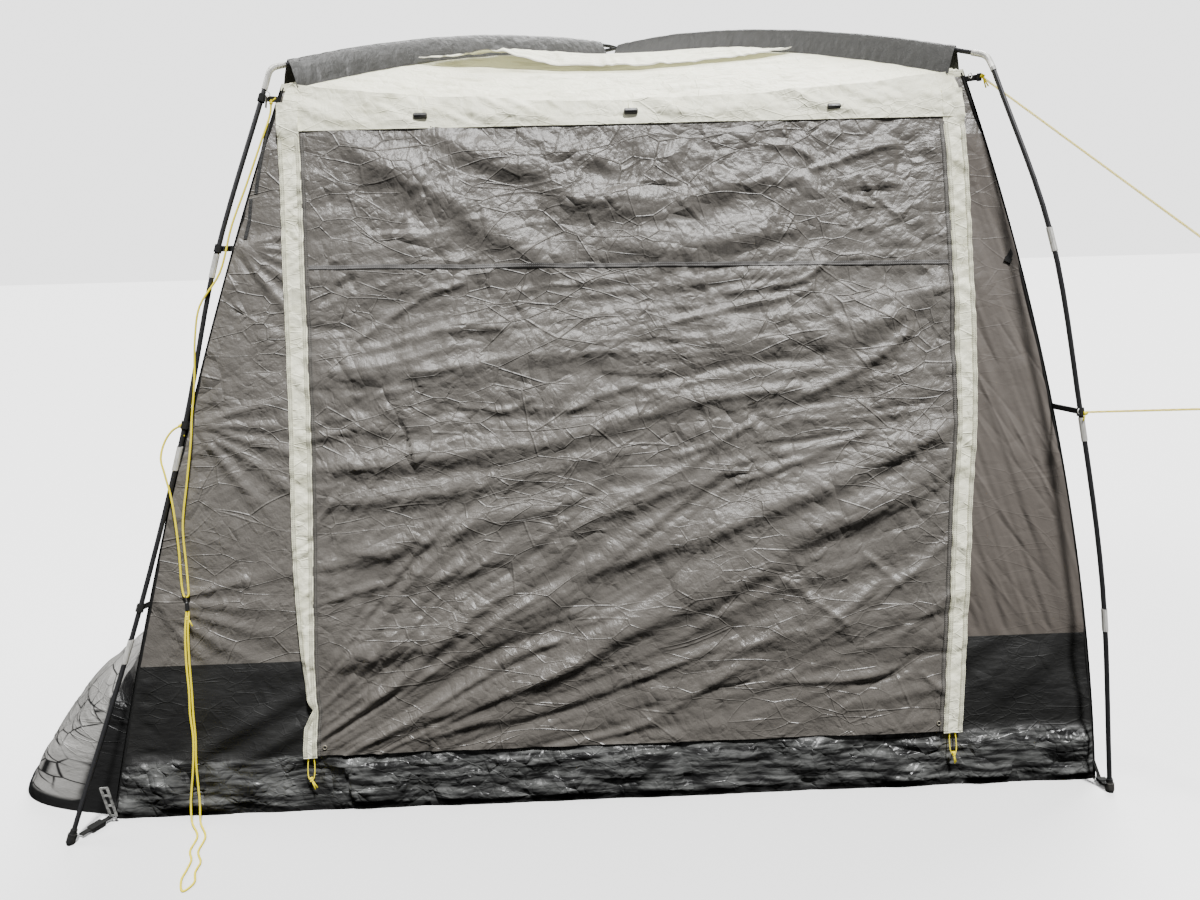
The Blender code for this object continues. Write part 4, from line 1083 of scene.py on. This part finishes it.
# Each fold as it hangs: how far it spreads above and below its crest, how far it stands out,
# and its course, all in centimetres from the middle of the tent's base.
FLAP_FOLDS = [
    (7.0, 4.0, 1.50, "-79,198 -64,187 -51,180 -38,171 -24,162 -11,155"),
    (6.5, 3.0, 1.40, "-51,197 -33,187 -14,180 -1,173 17,170 32,171"),
    (4.0, 2.2, 0.90, "-21,195 -11,189 -2,186 9,181"),
    (5.0, 2.5, 1.00, "5,174 16,174 31,174 46,178 64,178"),
    (6.0, 2.5, 1.10, "2,161 20,159 38,161 58,164"),
    (2.0, 0.8, 0.70, "63,180 76,184 92,188"),
    (1.2, 1.2, 0.50, "59,197 63,194 75,189"),
    (1.8, 1.0, -0.60, "80,189 87,194 94,200"),
    (1.2, 1.0, 0.55, "49,188 61,186 65,182"),
    (0.9, 0.9, 0.45, "77,180 84,171 90,166"),
    (1.0, 0.8, 0.50, "71,173 84,169"),
    (0.9, 0.9, 0.50, "64,147 72,135"),
    (0.6, 0.6, 0.22, "43,196 50,178 55,163 56,159"),
    (0.6, 0.6, 0.22, "71,132 77,116"),
    (0.6, 0.6, 0.22, "78,153 81,131"),
    (0.6, 0.6, 0.20, "91,157 92,141"),
    (6.0, 3.0, 1.20, "-84,125 -62,127 -31,128 -9,131 14,132"),
    (5.0, 2.4, 1.00, "-84,100 -50,102 -18,105 2,110 20,114"),
    (4.0, 2.0, 0.85, "-84,90 -56,92 -31,95 -12,99 14,103"),
    (3.0, 1.6, 0.65, "-48,138 -36,139 -24,137"),
    (1.6, 1.0, 0.75, "-58,143 -48,148 -36,152"),
    (1.4, 1.0, -0.60, "-79,146 -74,150 -68,154"),
    (1.4, 1.0, 0.50, "-71,134 -64,139 -55,144"),
    (1.6, 1.0, 0.65, "-42,117 -27,115 -18,119"),
    (2.4, 1.4, 0.60, "-84,108 -67,111 -55,109"),
    (1.8, 1.0, 0.60, "-13,112 2,119 15,122"),
    (6.5, 3.0, 1.20, "13,129 32,131 46,133 72,134 91,141 106,149"),
    (1.2, 0.9, 0.60, "36,146 49,148 59,149 68,155"),
    (1.4, 1.0, 0.60, "17,137 32,141 50,144 67,148"),
    (3.0, 1.6, 0.80, "5,112 20,114 37,117 61,119"),
    (1.8, 1.2, -0.70, "7,121 26,123 39,126 66,127"),
    (2.2, 1.2, 0.75, "54,115 74,123 85,130 96,137"),
    (2.0, 1.2, 0.70, "35,91 53,97 72,104 79,106"),
    (1.2, 0.8, -0.45, "43,103 58,104 76,106"),
    (1.4, 1.0, 0.50, "20,100 35,105 45,110"),
    (1.8, 1.2, 0.60, "6,89 23,97 34,103"),
    (2.0, 1.2, 0.70, "82,82 99,91 107,97"),
    (6.5, 2.6, 1.70, "-12,66 14,74 31,79 52,86 74,94 95,104 107,110"),
    (6.5, 2.6, 1.80, "-27,35 -9,43 2,49 24,58 45,68 59,76 74,82 87,88 106,100"),
    (7.0, 3.0, 1.50, "-83,43 -56,49 -38,53 -17,59 -4,62"),
    (4.5, 2.2, 1.05, "-59,66 -33,72 -17,79 8,88 29,94 49,97"),
    (4.0, 2.2, 0.95, "-77,76 -56,78 -35,84 -18,87 2,94"),
    (2.4, 1.4, 0.60, "-84,72 -70,74 -56,76"),
    (1.4, 1.0, 0.55, "-82,62 -68,66 -59,68"),
    (3.0, 1.6, 0.85, "-79,31 -61,37 -45,44 -27,51 -4,59"),
    (1.8, 1.2, 0.85, "-52,31 -38,39 -28,45 -8,50"),
    (4.5, 2.2, 1.20, "-80,18 -58,27 -42,31 -21,37 2,45"),
    (2.8, 1.4, 0.85, "-61,20 -42,25 -22,28 -6,32 14,39 36,47"),
    (2.6, 1.4, 0.75, "2,20 13,25 31,35 41,40"),
    (1.6, 2.4, 0.80, "35,44 51,48 62,50 74,58 82,64"),
    (2.2, 1.0, 0.85, "49,34 81,35 88,37"),
    (1.6, 1.2, -0.80, "76,31 88,37 92,40 106,41"),
    (1.2, 1.0, 0.60, "92,36 102,27"),
    (1.8, 1.4, 0.65, "85,46 94,53 103,60"),
    (1.6, 1.2, 0.60, "78,57 91,66 104,77"),
    (1.0, 1.0, 0.45, "49,67 61,58 72,50"),
    (0.9, 0.9, 0.40, "75,72 85,63 89,59"),
]


def fold(x, z, above, below, height, course):
    """One long fold: its crest follows a course, steeper on one side, and it dies out at both ends."""
    stops = smooth_route([(*[float(n) / 100 for n in stop.split(",")], 0.0) for stop in course.split()], 5)
    reach = 3 * max(above, below)
    (x0, x1), (z0, z1) = [(min(p[k] for p in stops) - reach, max(p[k] for p in stops) + reach) for k in (0, 1)]
    near = (x > x0) & (x < x1) & (z > z0) & (z < z1)
    px, pz = x[near], z[near]
    best, side, gone, run = np.full(px.shape, 9.0), np.zeros(px.shape), np.zeros(px.shape), 0.0
    for a, b in zip(stops, stops[1:]):
        step = b - a
        long = step.length
        share = np.clip(((px - a.x) * step.x + (pz - a.y) * step.y) / long ** 2, 0, 1)
        dx, dz = px - a.x - share * step.x, pz - a.y - share * step.y
        far = np.hypot(dx, dz)
        closer = far < best
        best = np.where(closer, far, best)
        side = np.where(closer, dz * step.x - dx * step.y, side)
        gone = np.where(closer, run + share * long, gone)
        run += long
    spread = np.where(side > 0, above, below) * (0.55 + 0.45 * np.sin(math.pi * gone / run))
    fade = np.clip(gone / (0.22 * run), 0, 1) * np.clip((run - gone) / (0.22 * run), 0, 1)
    total = np.zeros(x.shape)
    total[near] = height * fade * (2 - fade) * np.exp(-(best / spread) ** 2)
    return total


def fan_folds(x, z):
    """Long pulls that fan from the flap's lower left corner towards its right edge."""
    dx, dz = x + 1.30, z + 0.10
    far, turn = np.hypot(dx, dz), np.arctan2(dz, dx)
    wobble = 0.02 * waves(x * 2.5, z * 5, 61)
    bands = waves((turn + wobble) * 34, far * 0.9, 62) + 0.6 * waves((turn + wobble) * 75, far * 1.6, 63)
    return bands * np.clip((1.12 - z) / 0.35, 0, 1)


def level_folds(x, z):
    """Nearly level bands across the middle of the flap."""
    lean = z - 0.10 * x + 0.02 * waves(x * 3, z * 6, 64)
    bands = waves(lean * 24, x * 1.8, 65) + 0.6 * waves(lean * 55, x * 3.5, 66)
    return bands * np.clip((z - 0.75) / 0.3, 0, 1) * np.clip((1.62 - z) / 0.12, 0.25, 1)


def flap_relief(x, z):
    """All the folds of the flap and of the strips that are sewn to it."""
    edge = np.clip(np.minimum(x - flap_left(z), flap_right(z) - x) / 0.10, 0.12, 1)
    total = 0.0042 * fan_folds(x, z) + 0.0030 * level_folds(x, z)
    for above, below, height, course in FLAP_FOLDS:
        total = total + 0.8 * fold(x, z, above / 100, below / 82, height / 100, course)
    warp_x, warp_z = 0.03 * waves(x * 6, z * 6, 71), 0.03 * waves(x * 6, z * 6, 72)
    upper = 0.60 + 0.40 * np.clip((z - 0.85) / 0.3, 0, 1)
    total += upper * 0.075 * facets(x + warp_x, z * 1.25 + warp_z, 0.11, 73)
    total += upper * 0.085 * facets(x * 0.85 + warp_z, z + warp_x, 0.048, 74)
    area = (-0.95, 1.12, 0.15, 1.98)
    pressed = crease_lines(x, z, area, 300, 75, 0.24, 0.0050, 0.0026)
    pressed += crease_lines(x, z, (-0.95, 1.12, 1.0, 1.98), 330, 76, 0.12, 0.0042, 0.0030)
    pressed += crease_lines(x, z, area, 90, 77, 0.5, 0.0060, 0.0026, heading=0.35, spread=0.5)
    puckers = 0.0016 * waves(z * 44, x * 2, 78) * np.clip(1.5 - 10 * edge, 0, 1)
    hinge = np.clip((1.985 - z) / 0.12, 0.12, 1)
    return FACE + 0.004 + hinge * (edge * (1.45 * total + pressed) + puckers)


def flap_place(left_of, right_of, low, high, out):
    def place(u, v):
        z = low + (high - low) * v
        x = left_of(z) + (right_of(z) - left_of(z)) * u
        return (x, z), on_front(x, z, FLAP_OUT + out * (1 + 3 * np.clip((z - 1.93) / 0.03, 0, 1)))
    return place


UNDER_Z = (0.15, 0.24, 0.312, 0.40, 0.90)
UNDER_LEFT = (0.022, 0.024, 0.041, 0.030, 0.046)
UNDER_RIGHT = 0.046


def panel_left(z):
    """The panel's edge, sewn under the left border."""
    return flap_left(z) + np.interp(z, UNDER_Z, UNDER_LEFT)


def panel_right(z):
    return flap_right(z) - UNDER_RIGHT


def panel_relief(x, z):
    """The flap's folds, a little lower where the panel runs under its borders."""
    under = np.clip((panel_left(z) + 0.014 - x) / 0.006, 0, 1) + np.clip((x - panel_right(z) + 0.011) / 0.006, 0, 1)
    return flap_relief(x, z) - 0.005 * under


flap_grey = grey_cloth("flap_grey")
panel = make_cloth("door_panel_cloth", (300, 300),
                   flap_place(panel_left, panel_right, FLAP_FOOT, HINGE_Z + 0.004, 0.0), panel_relief, flap_grey)
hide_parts("door_panel")

# The left border is twisted near its foot, where it narrows to a pinch.
PINCH_Z = (0.15, 0.20, 0.26, 0.312, 0.346, 0.431, 0.545, 0.715, 0.90)
PINCH_OUTER = (0.0, 0.0, 0.007, 0.035, 0.022, 0.013, 0.005, 0.0, 0.0)
PINCH_INNER = (-0.024, -0.023, -0.018, -0.011, -0.016, -0.016, -0.012, -0.006, 0.0)
RIGHT_WIDE = ((1.08, 1.25), (0.057, 0.062))     # the right border's width at two heights


def border_outer(z):
    return flap_left(z) + np.interp(z, PINCH_Z, PINCH_OUTER)


def border_inner(z):
    return flap_left(z) + BORDER_W + np.interp(z, PINCH_Z, PINCH_INNER)


def border_relief(x, z):
    """The flap's own folds, with close slanting puckers and a lengthwise fold near the left foot."""
    slanting = 0.0034 * waves((x * 0.8 + z) * 34, x * 12, 85) + 0.0020 * waves((z - x * 0.6) * 66, x * 20, 86)
    twist = 0.008 * np.exp(-((x + 0.868) / 0.008) ** 2) * np.clip((0.72 - z) * 5, 0, 1) * np.clip(
        (z - 0.24) * 12, 0, 1)
    return flap_relief(x, z) + slanting + twist


BORDERS = {
    "door_border_left": (border_outer, border_inner),
    "door_border_right": (lambda z: flap_right(z) - np.interp(z, *RIGHT_WIDE), flap_right),
}
hinge_line = Vector((0.0, -wall_y(HINGE_Z) - FLAP_OUT, HINGE_Z)) + MIDDLE
blended = [panel]
for name, (left_of, right_of) in BORDERS.items():
    strip = make_cloth(name + "_cloth", (14, 420), flap_place(left_of, right_of, FLAP_FOOT - 0.006, 2.03, 0.002),
                       border_relief, cream_cloth)
    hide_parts(name)
    blended.append(strip)


def band_relief(x, z):
    """Slanting pulls from the roof seam down to the hem, which stays straight."""
    slanted = 0.0060 * waves((x * 0.42 + z) * 21, (x - z) * 4, 81) + 0.0030 * waves((x * 0.5 + z) * 55, x * 8, 82)
    pressed = crease_lines(x, z, (-0.95, 1.12, 1.94, 2.09), 60, 84, 0.10, 0.0035, 0.0030, heading=-0.6, spread=1.6)
    free = np.clip((z - HINGE_Z) / 0.02, 0.2, 1)
    return FACE + 0.005 + free * (slanted + pressed + 0.09 * facets(x, z, 0.04, 83))


def band_place(u, v):
    x = FLAP_LEFT + (FLAP_RIGHT - FLAP_LEFT) * u
    z_top = under_roof(x)
    z = HINGE_Z - 0.006 + (z_top - HINGE_Z + 0.006) * v
    narrow = BAND_NARROW * (z - HINGE_Z) / (EAVE_Z - HINGE_Z)
    x = FLAP_LEFT + narrow + (FLAP_RIGHT - FLAP_LEFT - 2 * narrow) * u
    out = FLAP_OUT + 0.004 * (1 - v) + (0.004 - FLAP_OUT) * np.maximum(0, 2 * v - 1)
    return (x, z), on_front(x, z, out)


band = make_cloth("door_band_cloth", (380, 24), band_place, band_relief, cream_cloth)
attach(band, "tent")
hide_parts("door_band")

# Felled seams are stitched twice, a little raised, with stitches that show as fine dashes. On the
# grey panel beside each border the dark dashes are painted shade, the shade of little puckers.
SEAM_W = 0.011
stitched = {}
for name, cloth_shades, dash_colour in (("cream", ((0.60, 0.59, 0.43), (0.74, 0.73, 0.55)), (0.40, 0.39, 0.30)),
                                   ("grey", ((0.085, 0.080, 0.075), (0.125, 0.118, 0.112)), (0.24, 0.235, 0.23)),
                                   ("pucker_shade", ((0.085, 0.079, 0.070), (0.125, 0.117, 0.104)), (0.012, 0.012, 0.011))):
    seam = Finish(name + "_seam")
    seam_where = seam.cloth_place()
    dash = seam.node("ShaderNodeTexWave", {"wave_type": "BANDS"}, {"Vector": seam_where, "Scale": 55.0})
    across = seam.node("ShaderNodeSeparateXYZ", {}, {0: seam_where}, output=1)
    rows = seam.ramp(across * (1 / SEAM_W), (0.0, 0.0), (0.12, 0.0), (0.18, 1.0), (0.26, 1.0), (0.32, 0.0),
                     (0.68, 0.0), (0.74, 1.0), (0.82, 1.0), (0.88, 0.0), (1.0, 0.0))
    dash_marks = rows * seam.ramp(dash, (0.35, 0.0), (0.5, 1.0))
    seam_grain = seam.grain(seam_where, 60.0, detail=4.0)
    seam.show(Base_Color=seam.blend(dash_marks, seam.tint(seam_grain, *cloth_shades), (*dash_colour, 1.0)), Roughness=0.6,
              Normal=seam.bump(seam_grain * 0.8 + dash_marks * 0.4, 0.0022))
    stitched[name] = seam


def seam_strip(name, length, finish, course, relief, segments=420):
    """A stitched seam along a course on the front, given as x and z by its share of the length."""
    def place(u, v):
        x, z = course(u)
        dx, dz = [(course(u + 0.001)[k] - course(u - 0.001)[k]) for k in (0, 1)]
        long = np.hypot(dx, dz)
        aside = (v - 0.5) * SEAM_W
        x, z = x - dz / long * aside, z + dx / long * aside
        return (x, z), on_front(x, z, FLAP_OUT), (u * length, v * SEAM_W)

    def raised(x, z):
        return relief(x, z) + 0.0022
    return make_cloth(name, (segments, 3), place, raised, finish)


def panel_seam_course(u):
    return FLAP_LEFT + BORDER_W + (FLAP_RIGHT - FLAP_LEFT - 2 * BORDER_W) * u, 1.566 - 0.032 * u


seams = {"door_seam": (1.9, "grey", panel_seam_course, flap_relief)}
for name, (left_of, right_of) in BORDERS.items():
    for edge_name, edge_of, inward in (("outer", left_of if "left" in name else right_of, 1),
                                       ("inner", right_of if "left" in name else left_of, -1)):
        toward = inward * (1 if "left" in name else -1) * 0.0075

        def course(u, edge_of=edge_of, toward=toward):
            z = FLAP_FOOT + (1.93 - FLAP_FOOT) * u
            return edge_of(z) + toward, z
        seams["%s_%s_seam" % (name, edge_name)] = (1.78, "cream", course, lambda x, z: border_relief(x, z) + 0.002)

    def pucker_course(u, edge_of=right_of if "left" in name else left_of, aside=0.007 if "left" in name else -0.007):
        z = FLAP_FOOT + (1.93 - FLAP_FOOT) * u
        return edge_of(z) + aside, z
    # These dark dashes on the panel are painted shade of the seam's puckers.
    seams[name.replace("border", "puckers")] = (1.78, "pucker_shade", pucker_course, flap_relief)
for name, (length, shade, course, relief) in seams.items():
    strip = seam_strip(name, length, stitched[shade], course, relief)
    blended.append(strip)

for piece in blended:
    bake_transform(piece)

for node in ("peg_loop_left", "peg_loop_right"):
    paint(node, rope_finish)

for side, tails in (("left", ((0.010, -0.004, -0.030), (0.016, -0.002, -0.026))),
                    ("right", ((0.004, -0.004, -0.030), (0.008, -0.002, -0.027)))):
    low, high = [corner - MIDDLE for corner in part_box("peg_loop_" + side)]
    knot("peg_loop_%s_knot" % side, ((low.x + high.x) / 2, low.y + 0.002, low.z + 0.004), (0.15, -0.1, -1.0),
         tails, "door")

# Each toggle hangs in a short cream tape that is sewn into the roof seam.
for node in ("toggle_left", "toggle_middle", "toggle_right"):
    paint(node, foot_mould)
    low, high = [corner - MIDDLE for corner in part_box(node)]
    middle, tape_top = (low.x + high.x) / 2, under_roof((low.x + high.x) / 2) - 0.004

    def tape_place(u, v, middle=middle, low=low, high=high, tape_top=tape_top):
        z = high.z - 0.003 + (tape_top - high.z + 0.003) * v
        x = middle + (u - 0.5) * 0.011
        y = (low.y + high.y) / 2 - 0.002 + (-wall_y(tape_top) - 0.012 - (low.y + high.y) / 2) * v
        return (x, z), columns(x, y, z)
    tape = make_cloth(node + "_tape", (3, 14), tape_place, lambda x, z: 0.0006 * waves(z * 160, x * 90, 87),
                      cream_cloth)
    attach(tape, "tent")
    tape_top - high.z + 0.003


# Near-black painted shadow, for the dark inside the eyelets' holes.
eyelet_painted_shadow = Finish("eyelet_painted_shadow")
eyelet_painted_shadow.show(Base_Color=(0.004, 0.004, 0.004, 1.0), Roughness=0.9)
brass = Finish("dull_brass")
brass.show(Base_Color=brass.tint(brass.grain(brass.place(), 400.0), (0.16, 0.14, 0.10), (0.40, 0.37, 0.29)),
           Metallic=0.5, Roughness=0.35 + brass.grain(brass.place(), 200.0) * 0.3)
for side, x in (("left", -0.831), ("right", 0.978)):
    z = FLAP_FOOT + 0.026
    out = float(flap_relief(np.array([x]), np.array([z]))[0])
    middle = (x, -wall_y(z) - FLAP_OUT - out - 0.001, z)
    made = bmesh.new()
    add_ring(made, middle, (0, -1, 0.12), 0.0055, 0.0016)
    small_part("door_eyelet_" + side, made, brass, "door").data.shade_smooth()
    # A black disc in each eyelet is painted shadow: the dark of the hole through the door.
    made = bmesh.new()
    add_bar(made, middle, Vector(middle) + Vector((0, 0.001, 0)), 0.0050)
    small_part("door_eyelet_%s_hole" % side, made, eyelet_painted_shadow, "door")


# The short zip in the left front wall
# A black coil zip runs down beside the door from the eave, in two lengths that the wall's slack
# shows one after the other. The narrow storm flap of the wall's own cloth over it is not drawn.
ZIP_COURSES = {"upper": ((-0.928, 1.975), (-0.952, 1.870), (-0.968, 1.778)),
               "lower": ((-0.982, 1.764), (-0.988, 1.705), (-1.001, 1.652))}
zip_black = Finish("zip_black")
zip_teeth = zip_black.node("ShaderNodeTexWave", {"wave_type": "BANDS"}, {"Vector": zip_black.cloth_place(),
                                                                         "Scale": 90.0})
zip_black.show(Base_Color=zip_black.tint(zip_teeth, (0.006, 0.006, 0.006), (0.030, 0.030, 0.030)), Roughness=0.5,
               Normal=zip_black.bump(zip_teeth, 0.0012))
for name, stops in ZIP_COURSES.items():
    heights = [stop[1] for stop in reversed(stops)]
    places = [stop[0] for stop in reversed(stops)]

    def zip_place(u, v, heights=heights, places=places):
        z = heights[0] + (heights[-1] - heights[0]) * v
        x = np.interp(z, heights, places) + (u - 0.5) * 0.010
        return (x, z), on_front(x, z, 0.0028), (z, u * 0.010)
    piece = make_cloth("wall_zip_" + name, (4, 60), zip_place, wall_relief, zip_black)
    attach(piece, "tent")
    heights[-1] - heights[0]


# Vehicle tunnel
# A sleeve of silver-grey coated cloth is sewn round the left wall. Off the vehicle it hangs
# slack, and its foot lies heaped on the ground. On the heap light and shade are painted in:
# a paler top, painted light, and dark crease lines, painted shade.
TUNNEL_DROP = [(0.000, 1.960), (0.060, 1.780), (0.095, 1.570), (0.105, 1.310), (0.100, 1.060),
               (0.094, 0.870), (0.090, 0.700), (0.088, 0.560), (0.090, 0.450), (0.108, 0.390),
               (0.150, 0.335), (0.238, 0.270), (0.280, 0.200), (0.326, 0.120), (0.360, 0.060),
               (0.382, 0.020), (0.380, 0.0015)]
HEAP_SHADE_CREASES = ((6.0, 2.2, 0.8, 0.035, 1.6, 4.0), (11.0, 1.8, -0.5, 0.050, 1.4, 6.0))
tunnel_cloth = grey_cloth("tunnel_grey", (0.19, 0.186, 0.180), (0.115, 0.112, 0.108), 0.8)
tunnel_where = tunnel_cloth.cloth_place()
tunnel_side, tunnel_run = [tunnel_cloth.node("ShaderNodeSeparateXYZ", {}, {0: tunnel_where}, output=k) for k in (0, 1)]
tunnel_tone = tunnel_cloth.grain(tunnel_where, 5.0, detail=3.0)
slack_shade = tunnel_cloth.tint(tunnel_tone, (0.125, 0.121, 0.116), (0.185, 0.181, 0.174))
front_end = tunnel_cloth.ramp(tunnel_side * 0.5 + 1.0, (0.46, 1.0), (0.62, 0.25))
# On the heap: a paler top is painted light, and dark crease lines are painted shade.
heap_crease_shade = pressed_creases(tunnel_cloth, tunnel_where, tunnel_where, HEAP_SHADE_CREASES)
heap_painted_light_and_shade = tunnel_cloth.blend(heap_crease_shade * front_end, tunnel_cloth.tint(tunnel_tone, (0.20, 0.196, 0.187), (0.29, 0.284, 0.27)),
                                (0.012, 0.012, 0.012, 1.0))
heap_share = tunnel_cloth.ramp(tunnel_run + tunnel_tone * 0.1, (0.52, 1.0), (0.64, 0.0))
painted_light_share = heap_share * (0.2 + front_end * 0.8)
under_share = tunnel_cloth.ramp(tunnel_run + tunnel_tone * 0.03, (0.045, 1.0), (0.055, 0.0))
corner_slant = tunnel_run * 0.13 + tunnel_run ** 4 * 1.8
at_corner = tunnel_cloth.ramp(tunnel_side - corner_slant + tunnel_tone * 0.02 + 2.0, (0.642, 1.0), (0.650, 0.0))
black_share = under_share + at_corner * heap_share
tunnel_cloth.show(Base_Color=tunnel_cloth.blend(
    black_share, tunnel_cloth.blend(painted_light_share, slack_shade, heap_painted_light_and_shade), (0.009, 0.009, 0.009, 1.0)))
drop_out = np.array([out for out, z in TUNNEL_DROP])
drop_z = np.array([z for out, z in TUNNEL_DROP])
drop_run = np.concatenate(([0.0], np.cumsum(np.hypot(np.diff(drop_out), np.diff(drop_z)))))


def tunnel_place(u, v):
    run = (1 - v) * drop_run[-1]
    out, z = np.interp(run, drop_run, drop_out), np.interp(run, drop_run, drop_z)
    y = (1 - 2 * u) * (wall_y(z) - 0.012)
    square = 5 + 4 * (1 - z / EAVE_Z) + 12 * np.clip(1 - z / 0.35, 0, 1)
    bulge = 0.003 + out * (1 - np.abs(1 - 2 * u) ** square)
    return (y, drop_run[-1] - run), columns(left_x(z) - FACE - bulge, y, z)


def tunnel_relief(y, run):
    """Soft vertical slack above, and a heap with sharp folds at the foot."""
    heap = np.clip((0.62 - run) / 0.25, 0, 1)
    hung = 0.012 * (waves(y * 4, run * 2.4, 91) - 0.6) + 0.035 * facets(y, run, 0.12, 92) - 0.006
    heaped = 0.022 * waves(y * 5, run * 7, 95) + 0.30 * facets(y + 0.03 * waves(y * 8, run * 8, 96), run, 0.13, 93)
    edge = np.clip((1.38 - np.abs(y)) * 9, 0, 1) * np.clip(run * 14, 0.1, 1) * np.clip((2.0 - run) * 4, 0, 1)
    pressed = crease_lines(y, run, (-1.4, 1.4, 0, 2.1), 260, 94, 0.3, 0.006, 0.005)
    return edge * (hung * (1 - heap) + heaped * heap + pressed)


tunnel = make_cloth("tunnel_cloth", (260, 210), tunnel_place, tunnel_relief, tunnel_cloth)
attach(tunnel, "tent")
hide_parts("tunnel")


# Guy fittings and the taut right guy
# The right guy is tied to two clips, bends through its ring and runs on as a doubled line to
# a steel peg. It is taut, and its loose braid stands a little off its core.
BRAID = 0.0015
for node in ("right_guy_rope", "right_guy_line"):
    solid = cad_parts[node]
    mesh = solid.data.copy()
    mesh.transform(solid.matrix_world)
    for vertex, normal in zip(mesh.vertices, [v.normal.copy() for v in mesh.vertices]):
        vertex.co += normal * BRAID
    mesh.materials.clear()
    mesh.materials.append(rope_finish.material)
    mesh.shade_smooth()
    braid = bpy.data.objects.new(node + "_braid", mesh)
    bpy.context.scene.collection.objects.link(braid)
    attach(braid, "tent")
    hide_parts(node)
    if node == "right_guy_rope":
        ends = [pick(mesh.vertices, key=lambda v: v.co.z).co - MIDDLE for pick in (max, min)]
        knot("right_guy_top_knot", ends[0], (-1.0, 0.0, 0.4), ((0.018, -0.004, -0.030), (0.010, -0.006, -0.034)))
        knot("right_guy_middle_knot", ends[1], (-1.0, 0.0, 0.0), ((-0.006, -0.006, -0.020),))
for node in ("left_guy_runner", "right_guy_runner"):
    paint(node, foot_mould)
paint("right_guy_peg", elbow_steel)
